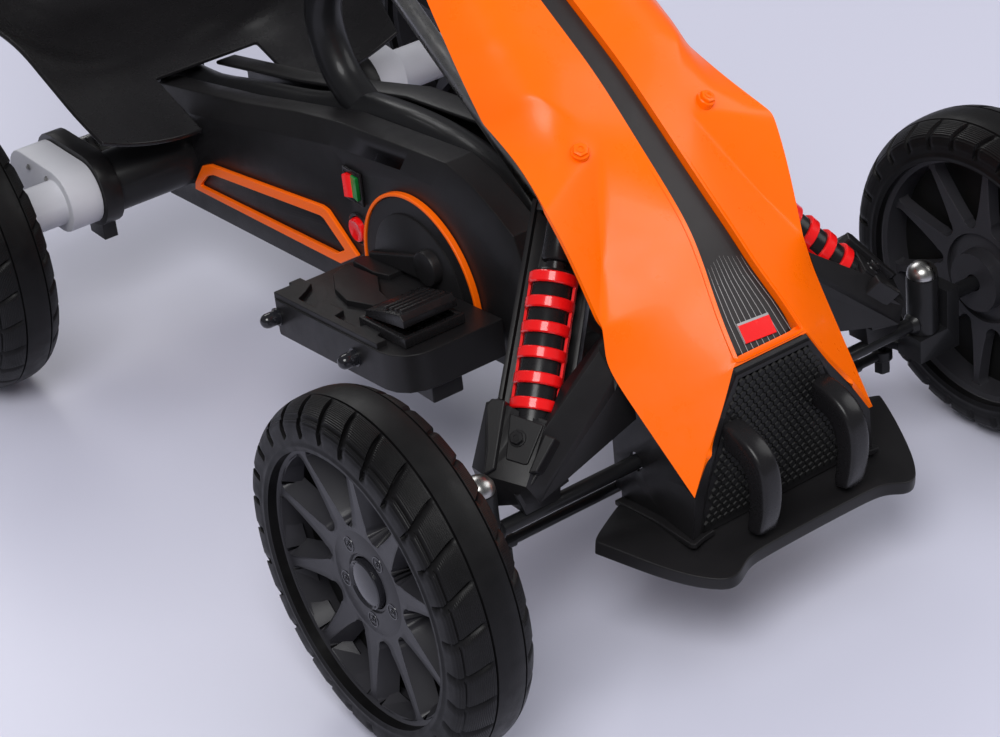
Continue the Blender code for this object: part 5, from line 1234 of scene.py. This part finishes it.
def build_console():
    for word, side in SIDES.items():
        refined(f"console_{word}_shell", f"console_{word}", "black", 0.0016, 3, 14.0)
        face = side * CONSOLE_FACE_X
        drop = math.asin(0.028 / 0.077)
        outline = arc(0.0736, -math.asin(0.028 / 0.0736), math.pi + math.asin(0.028 / 0.0736), 72)
        disc = plate(f"side_disc_{word}_face", side_outline(outline, face), (side * 0.0042, 0, 0), "black", 0.0008)
        stand_for(disc, f"side_disc_{word}")
        steps = mm([(0, 0), (0, 60), (5.6, 60), (6.2, 59), (6.2, 0)])
        hollow = turned(f"side_disc_{word}_step", [(side * u, r) for u, r in steps], place(face, DISC_Y, DISC_Z),
                        (1, 0, 0), "black", 96, False)
        knob = mm([(0, 0), (0, 14.5), (12, 14.5), (13.4, 13.8), (14, 12.4), (14, 0)])
        boss = turned(f"side_disc_{word}_boss", [(side * u, r) for u, r in knob], place(face, 0.2606, 0.1710),
                      (1, 0, 0), "black", 64, False)
        rib = mm([(260.6, 182), (284.6, 174), (344.6, 154.6), (344.6, 148.6), (260.6, 158.1)])
        add_to(plate(f"side_disc_{word}_rib", side_outline(rib, face), (side * 0.0115, 0, 0), "black", 0.0022,
                     2, 20.0), f"side_disc_{word}")
        add_to(boss, f"side_disc_{word}")
        band = arc(0.077, -drop, math.pi + drop, 80)
        band += list(reversed(arc(0.0738, -drop, math.pi + drop, 80)))
        ring = plate(f"disc_ring_{word}_band", side_outline(band, face), (side * 0.0055, 0, 0), "orange_trim",
                     0.0010, 2, 30.0)
        stand_for(ring, f"disc_ring_{word}")
        below = 0.116
        builder = bmesh.new()
        builder.from_mesh(hollow.data)
        bmesh.ops.bisect_plane(builder, geom=all_of(builder),
                               plane_co=(0, 0, below), plane_no=(0, 0, -1), clear_outer=True)
        cap_edges = [edge for edge in builder.edges if edge.is_boundary]
        bmesh.ops.holes_fill(builder, edges=cap_edges)
        builder.to_mesh(hollow.data)
        builder.free()
        add_to(hollow, f"side_disc_{word}")
        build_trim(word, side)
        build_platform(word, side)
    refined("battery_case", "battery", "black_smooth", 0.0020)
    refined("controller_case", "controller", "black_smooth", 0.0015)


TRIM_OUTER = mm([
    (641, 104), (638.5, 112), (620, 134), (605, 140), (421.5, 165), (413, 164), (374, 136), (403, 118.5),
])
TRIM_INNER = mm([
    (629, 111.2), (627.5, 114), (614, 125.8), (602, 130.8), (425.5, 154.5), (420, 153.5), (393.5, 134.5),
    (406.5, 127.2),
])


def build_trim(word, side):
    """The orange outline behind the disc, wider along its top and its front, its rim sloped inward."""
    face = side * CONSOLE_FACE_X
    builder = bmesh.new()
    rings = []
    for chain, rise in ((TRIM_OUTER, 0.0), (TRIM_OUTER, 0.0040), (TRIM_INNER, 0.0040), (TRIM_INNER, 0.0)):
        verts = [builder.verts.new(spot) for spot in side_outline(chain, face + side * rise)]
        rings.append([builder.edges.new((verts[i], verts[(i + 1) % len(verts)])) for i in range(len(verts))])
    for first, second in zip(rings, rings[1:] + rings[:1]):
        bmesh.ops.bridge_loops(builder, edges=first + second)
    bmesh.ops.recalc_face_normals(builder, faces=builder.faces)
    trim = finish_mesh(f"side_trim_{word}_frame", builder, "orange_trim", 30.0)
    round_edges(trim, 0.0012, 3, 30.0)
    stand_for(trim, f"side_trim_{word}")


def platform_top(y):
    """The height of the foot rest's face, which falls towards the rear."""
    return 0.1605 - 0.0895 * (y - 0.178)


PLATFORM_EDGE = mm([
    (56.6, 171), (118, 171), (129, 172.8), (139, 179), (145.2, 188.5), (147.5, 200), (147.5, 348),
    (144.5, 354.5), (138, 358), (72, 358), (56.6, 344),
])
PLATFORM_RISERS = mm((
    [(146, 206), (146, 352), (129, 352), (129, 357), (118, 357), (118, 340), (129, 331), (140, 324), (140, 297.7),
     (129, 295.7), (129, 276.3), (139, 273.7), (139, 242), (128, 240.3), (128, 222.5), (137, 217.8), (137, 206)],
    [(110, 264), (118, 290), (112, 316), (98.5, 340), (80, 348), (78, 306), (92, 282), (96, 262)],
    [(57, 300), (72, 300), (76, 315), (74.5, 348), (66, 351), (57, 343)],
))


def build_platform(word, side):
    """A foot rest: an open-bottomed tray with raised ribs, a foot below and two domed nuts on its edge."""
    node = f"foot_platform_{word}"
    builder = bmesh.new()
    face = builder.faces.new([builder.verts.new(place(side * x, y, platform_top(y))) for x, y in PLATFORM_EDGE])
    face.normal_update()
    if face.normal.z < 0:
        face.normal_flip()
    skirt = bmesh.ops.extrude_edge_only(builder, edges=builder.edges[:])
    low = [item for item in skirt["geom"] if isinstance(item, bmesh.types.BMVert)]
    bmesh.ops.translate(builder, vec=(0, 0, -0.0320), verts=low)
    turn_faces(builder, "z")
    tray = finish_mesh(f"{node}_tray", builder, "black", None, recalc=False)
    thicken(tray, 0.0030)
    round_edges(tray, 0.0024, 3, 40.0)
    stand_for(tray, node)
    for i, outline in enumerate(PLATFORM_RISERS):
        spots = [place(side * x, y, platform_top(y) - 0.0010) for x, y in outline]
        add_to(plate(f"{node}_riser_{i + 1}", spots, (0, 0, 0.0058), "black", 0.0008, 2, 30.0), node)
    corners = ((0.0940, 0.1760), (0.1215, 0.1760), (0.1215, 0.2010), (0.0940, 0.2010))
    foot = [place(side * x, y, 0.1290) for x, y in corners]
    add_to(plate(f"{node}_foot", foot, (0, 0, -0.0160), "black", 0.0016, 3, 30.0), node)
    builder = bmesh.new()
    for y in (0.2360, 0.3480):
        spot = place(side * 0.1476, y, platform_top(y) - 0.0155)
        add_hex(builder, spot, (side, 0, 0), 0.0135, 0.0070, 0.0007, False)
        dome = mm([(0, 7.4), (1.4, 7.4), (1.4, 6), (6.6, 6), (10, 6), (12.4, 5.3), (14.2, 3.8), (15.2, 1.9),
                   (15.5, 0)])
        spin_profile(builder, dome, 32, turned_matrix(spot, (side, 0, 0)), False)
    add_to(finish_mesh(f"{node}_nuts", builder, "hub", 32.0), node)


def build_switches():
    refined("rocker_bezel_frame", "rocker_bezel", "black_smooth", 0.0006, 2)
    builder = merged_copy("rocker_switch")
    half = place(0, 0.3696, 0).y
    bmesh.ops.bisect_plane(builder, geom=all_of(builder),
                           plane_co=(0, half, 0), plane_no=(0, 1, 0))
    for face in builder.faces:
        face.material_index = 0 if face.calc_center_median().y > half else 1
    rocker = finish_mesh("rocker_switch_key", builder, ["red", "green"], None, recalc=False)
    round_edges(rocker, 0.0006, 3, 20.0)
    stand_for(rocker, "rocker_switch")
    button = mm([(-8, 0), (-8, 10.2), (3, 10.2), (4.6, 9.7), (5.2, 8.6), (4.8, 7), (4.2, 4.5), (4, 0)])
    centre = place(-0.050, 0.371, 0.161)
    stand_for(turned("power_button_cap", button, centre, (-1, 0, 0), "red", 56, False), "power_button")
    ring = [(0.0, 0.0112), (0.0, 0.0142), (0.0014, 0.0138), (0.0018, 0.0128), (0.0014, 0.0112)]
    add_to(turned("power_button_ring", ring, centre, (-1, 0, 0), "black_smooth", 56), "rocker_bezel")
    refined("pedal_base_tray", "pedal_base", "black_smooth", 0.0008)
    refined("accelerator_pedal_cap", "accelerator_pedal", "black_smooth", 0.0007)


# Rear drive and seat

def build_rear_drive():
    """The axle, and on each side a gearbox in two halves with its motor and four screws."""
    refined("rear_axle_rod", "rear_axle", "steel", 0.0008, 2, 40.0)
    for word, side in SIDES.items():
        refined(f"gearbox_housing_{word}_case", f"gearbox_housing_{word}", "black", 0.0012, 2, 40.0)
        refined(f"gearbox_cover_{word}_case", f"gearbox_cover_{word}", "grey", 0.0014, 3, 40.0)
        refined(f"motor_{word}_can", f"motor_{word}", "steel", 0.0012, 2, 40.0)
        builder = bmesh.new()
        for back, high in ((0.012, 0.018), (0.046, 0.018), (0.012, -0.018), (0.046, -0.018)):
            spot = place(side * 0.1754, WHEELBASE + back, AXLE_Z + high)
            add_hex(builder, spot, (side, 0, 0), 0.0060, 0.0018, 0.0003)
        screws = finish_mesh(f"gearbox_cover_{word}_screws", builder, "steel", 30.0)
        add_to(screws, f"gearbox_cover_{word}")


SEAT_REAR_Y = 0.9245
SEAT_NOTCH = 0.052  # half the width of the notch astride the console
SEAT_NOTCH_SHARE = 2.02 / 11  # of the seat's length, from its lip
SEAT_NOTCH_COLUMNS = 18 / 48  # of each half's columns lie over the notch's width
SEAT_PROFILE = mm([  # distance ahead of the rear edge, height, half width, side rise
    (314.5, 172, 150, 27), (279.5, 184, 156, 36), (240.5, 197.5, 160, 46), (202.5, 206.5, 161, 53),
    (144.5, 206.5, 161, 60), (94.5, 216, 160, 64), (60.5, 245, 158, 66), (40.5, 300, 155, 64),
    (26.5, 370, 152, 58), (15.5, 450, 144, 46), (7.5, 520, 128, 28), (4.5, 560, 104, 12),
])


def seat_row(share):
    """The seat's middle line at a share of its length: place along, height, half width and side rise."""
    last = len(SEAT_PROFILE) - 1
    i = min(int(share * last), last - 1)
    t = share * last - i
    rows = [SEAT_PROFILE[min(max(k, 0), last)] for k in (i - 1, i, i + 1, i + 2)]
    return [smooth_step(*knots, t) for knots in zip(*rows)]


def build_seat():
    """A bucket seat whose lip is open in the middle, where it sits astride the console."""
    builder = bmesh.new()
    bmesh.ops.create_grid(builder, x_segments=48, y_segments=88, size=1.0)
    shares = {}
    for vert in builder.verts:
        across = vert.co.x
        share = (vert.co.y + 1) / 2
        ahead, z, half, rise = seat_row(share)
        before = seat_row(max(0.0, share - 0.01))
        after = seat_row(min(1.0, share + 0.01))
        along = Vector((0, before[0] - after[0], after[1] - before[1])).normalized()
        inward = Vector((0, -along.z, along.y))
        edge = SEAT_NOTCH / half
        bound = abs(across)
        middle = SEAT_NOTCH_COLUMNS
        reach = bound / middle * edge if bound < middle else edge + (bound - middle) / (1 - middle) * (1 - edge)
        x = math.copysign(reach * half, across)
        outside = max(0.0, (abs(x) - SEAT_NOTCH) / (half - SEAT_NOTCH))
        shares[vert] = (share, abs(x))
        vert.co = place(x, SEAT_REAR_Y - ahead, z) + inward * rise * outside ** 2
    gone = []
    for face in builder.faces:
        if all(shares[vert][0] < SEAT_NOTCH_SHARE and shares[vert][1] < SEAT_NOTCH + 0.0002 for vert in face.verts):
            gone.append(face)
    bmesh.ops.delete(builder, geom=gone, context="FACES")
    turn_faces(builder, "z")
    seat = finish_mesh("seat_shell", builder, "black_smooth", None, recalc=False)
    thicken(seat, 0.0045)
    round_edges(seat, 0.0016, 3, 50.0)
    stand_for(seat, "seat")


# Stage

SKY = (0.86, 0.87, 0.93, 1.0)
SKY_LIGHT = 0.72
SKY_REFLECTED = 0.16
LAMPS = (  # name, place, size, power
    ("key_light", (-1.6, -1.9, 2.9), 1.8, 76.0),
    ("fill_light", (2.4, -1.4, 2.2), 2.2, 30.0),
    ("rear_light", (0.6, 2.6, 2.4), 2.0, 34.0),
)
CAMERA_PLACE = (-0.9639, -1.1982, 1.0858)
CAMERA_ANGLES = (-33.32, 30.49, -6.356)  # degrees round the kart, above it, and of roll
CAMERA_LENS = 91.85


def build_floor(look):
    surface = Surface("studio_floor", look.floor, 0.34, specular=0.35)
    surface.tones(surface.noise(1.2, 2.0, 0.5), tuple(value * 0.97 for value in look.floor), look.floor)
    builder = bmesh.new()
    bmesh.ops.create_grid(builder, x_segments=2, y_segments=2, size=9.0)
    finish_mesh("studio_floor", builder, surface.material, None)


def build_sky():
    """A pale sky whose light is stronger than its reflection."""
    world = bpy.data.worlds.new("studio")
    world.use_nodes = True
    nodes, links = world.node_tree.nodes, world.node_tree.links
    lit, reflected = nodes["Background"], nodes.new("ShaderNodeBackground")
    for back, strength in ((lit, SKY_LIGHT), (reflected, SKY_REFLECTED)):
        back.inputs["Color"].default_value = SKY
        back.inputs["Strength"].default_value = strength
    path = nodes.new("ShaderNodeLightPath")
    mix = nodes.new("ShaderNodeMixShader")
    links.new(path.outputs["Is Glossy Ray"], mix.inputs[0])
    links.new(lit.outputs["Background"], mix.inputs[1])
    links.new(reflected.outputs["Background"], mix.inputs[2])
    links.new(mix.outputs["Shader"], nodes["World Output"].inputs["Surface"])
    bpy.context.scene.world = world


def hang_lamps(look):
    for name, spot, size, power in LAMPS:
        data = bpy.data.lights.new(name, "AREA")
        data.shape = "DISK"
        data.size = size
        data.energy = power * look.light
        lamp = bpy.data.objects.new(name, data)
        lamp.location = spot
        lamp.rotation_euler = (Vector((0, 0, 0.2)) - Vector(spot)).to_track_quat("-Z", "Y").to_euler()
        bpy.context.scene.collection.objects.link(lamp)


def set_camera():
    """The camera that was fitted to the photograph."""
    data = bpy.data.cameras.new("photo_view")
    data.sensor_width = 36.0
    data.lens = CAMERA_LENS
    data.clip_start = 0.05
    camera = bpy.data.objects.new("photo_view", data)
    azimuth, elevation, roll = (math.radians(value) for value in CAMERA_ANGLES)
    back_way = Vector((math.sin(azimuth) * math.cos(elevation), -math.cos(azimuth) * math.cos(elevation),
                       math.sin(elevation)))
    level = Vector((0, 0, 1)).cross(back_way).normalized()
    upright = back_way.cross(level)
    right = math.cos(roll) * level + math.sin(roll) * upright
    up = -math.sin(roll) * level + math.cos(roll) * upright
    matrix = Matrix((right, up, back_way)).transposed().to_4x4()
    matrix.translation = place(*CAMERA_PLACE)
    camera.matrix_world = matrix
    bpy.context.scene.collection.objects.link(camera)
    bpy.context.scene.camera = camera
    bpy.context.scene.view_settings.view_transform = "Standard"


# Settings

class GoKartLook(bpy.types.PropertyGroup):
    """The sizes and colours of the finished pieces."""
    wheel_radius: FloatProperty(name="Wheel radius", description="Radius of each tyre's crown",
                                default=0.130, min=0.125, max=0.132, subtype="DISTANCE", unit="LENGTH")
    groove_depth: FloatProperty(name="Groove depth", description="Depth of the cross grooves in the tread",
                                default=0.0036, min=0.0, max=0.005, subtype="DISTANCE", unit="LENGTH")
    tread_steps: IntProperty(name="Tread steps", description="Mesh steps from one tread groove to the next",
                             default=13, min=8, max=20)
    grille_pitch: FloatProperty(name="Grille pitch", description="Distance between the nose grille's studs",
                                default=0.0058, min=0.003, max=0.012, subtype="DISTANCE", unit="LENGTH")
    orange: FloatVectorProperty(name="Orange", description="Colour of the nose fairing, side rings and trims",
                                size=3, default=(1.0, 0.136, 0.0), min=0.0, max=1.0, subtype="COLOR")
    black: FloatVectorProperty(name="Black", description="Colour of the moulded body panels",
                               size=3, default=(0.0100, 0.0094, 0.0102), min=0.0, max=1.0, subtype="COLOR")
    red: FloatVectorProperty(name="Red", description="Colour of the shock cages, the button and the badge plate",
                             size=3, default=(0.78, 0.006, 0.007), min=0.0, max=1.0, subtype="COLOR")
    grey: FloatVectorProperty(name="Grey", description="Colour of the gearbox covers",
                              size=3, default=(0.60, 0.60, 0.64), min=0.0, max=1.0, subtype="COLOR")
    floor: FloatVectorProperty(name="Floor", description="Colour of the studio floor",
                               size=3, default=(0.56, 0.56, 0.66), min=0.0, max=1.0, subtype="COLOR")
    light: FloatProperty(name="Light", description="Share of the studio lamps' usual power",
                         default=1.0, min=0.1, max=3.0, subtype="FACTOR")


# Operators

class GOKART_OT_stage(bpy.types.Operator):
    """Lay the floor, hang the lamps and set the camera"""
    bl_idname = "gokart.stage"
    bl_label = "Stage"

    def execute(self, context):
        look = context.scene.gokart_look
        build_floor(look)
        build_sky()
        hang_lamps(look)
        set_camera()
        return {"FINISHED"}


class GOKART_OT_wheels(bpy.types.Operator):
    """Build the treaded tyres, the spoked rims and the hub caps"""
    bl_idname = "gokart.wheels"
    bl_label = "Wheels"

    def execute(self, context):
        build_tyres(context.scene.gokart_look)
        for label in WHEELS:
            build_rim(label)
        return {"FINISHED"}


class GOKART_OT_frame(bpy.types.Operator):
    """Build the tube frame and the seat bracket"""
    bl_idname = "gokart.frame"
    bl_label = "Frame"

    def execute(self, context):
        build_frame_tubes()
        return {"FINISHED"}


class GOKART_OT_steering(bpy.types.Operator):
    """Build the steering wheel, its shaft, the knuckles and the tie rods"""
    bl_idname = "gokart.steering"
    bl_label = "Steering"

    def execute(self, context):
        build_front_linkage()
        build_steering_gear()
        return {"FINISHED"}


class GOKART_OT_nose(bpy.types.Operator):
    """Build the nose fairing, its stripe, the nose body, the grille, the splitter and the bull bars"""
    bl_idname = "gokart.nose"
    bl_label = "Nose"

    def execute(self, context):
        build_fairing()
        build_pod_bolts()
        build_stripe()
        build_stripe_lines()
        build_badge()
        build_nose()
        return {"FINISHED"}


class GOKART_OT_suspension(bpy.types.Operator):
    """Build the shocks, their cages and the axle covers"""
    bl_idname = "gokart.suspension"
    bl_label = "Front suspension"

    def execute(self, context):
        build_suspension()
        return {"FINISHED"}


class GOKART_OT_console(bpy.types.Operator):
    """Build the console, its discs and trims, the foot rests and the electrics"""
    bl_idname = "gokart.console"
    bl_label = "Console"

    def execute(self, context):
        build_console()
        return {"FINISHED"}


class GOKART_OT_controls(bpy.types.Operator):
    """Build the rocker switch, the push button and the accelerator pedal"""
    bl_idname = "gokart.controls"
    bl_label = "Controls"

    def execute(self, context):
        build_switches()
        return {"FINISHED"}


class GOKART_OT_drive(bpy.types.Operator):
    """Build the rear axle, the gearboxes and the motors"""
    bl_idname = "gokart.drive"
    bl_label = "Rear drive"

    def execute(self, context):
        build_rear_drive()
        return {"FINISHED"}


class GOKART_OT_seat(bpy.types.Operator):
    """Build the bucket seat"""
    bl_idname = "gokart.seat"
    bl_label = "Seat"

    def execute(self, context):
        build_seat()
        return {"FINISHED"}


OPERATORS = (
    GOKART_OT_stage,
    GOKART_OT_wheels,
    GOKART_OT_frame,
    GOKART_OT_steering,
    GOKART_OT_nose,
    GOKART_OT_suspension,
    GOKART_OT_console,
    GOKART_OT_controls,
    GOKART_OT_drive,
    GOKART_OT_seat,
)


class GOKART_PT_panel(bpy.types.Panel):
    """The go-kart's settings and the buttons that build its pieces"""
    bl_idname = "GOKART_PT_panel"
    bl_label = "Electric Go-Kart"
    bl_space_type = "VIEW_3D"
    bl_region_type = "UI"
    bl_category = "Go-Kart"

    def draw(self, context):
        look = context.scene.gokart_look
        for key in look.__annotations__:
            self.layout.prop(look, key)
        for operator in OPERATORS:
            self.layout.operator(operator.bl_idname)


def register():
    bpy.utils.register_class(GoKartLook)
    for operator in OPERATORS:
        bpy.utils.register_class(operator)
    bpy.utils.register_class(GOKART_PT_panel)
    bpy.types.Scene.gokart_look = PointerProperty(type=GoKartLook)


def unregister():
    del bpy.types.Scene.gokart_look
    bpy.utils.unregister_class(GOKART_PT_panel)
    for operator in reversed(OPERATORS):
        bpy.utils.unregister_class(operator)
    bpy.utils.unregister_class(GoKartLook)


def main():
    register()
    bpy.ops.gokart.stage()
    bpy.ops.gokart.wheels()
    bpy.ops.gokart.frame()
    bpy.ops.gokart.steering()
    bpy.ops.gokart.nose()
    bpy.ops.gokart.suspension()
    bpy.ops.gokart.console()
    bpy.ops.gokart.controls()
    bpy.ops.gokart.drive()
    bpy.ops.gokart.seat()


if __name__ == "__main__":
    main()
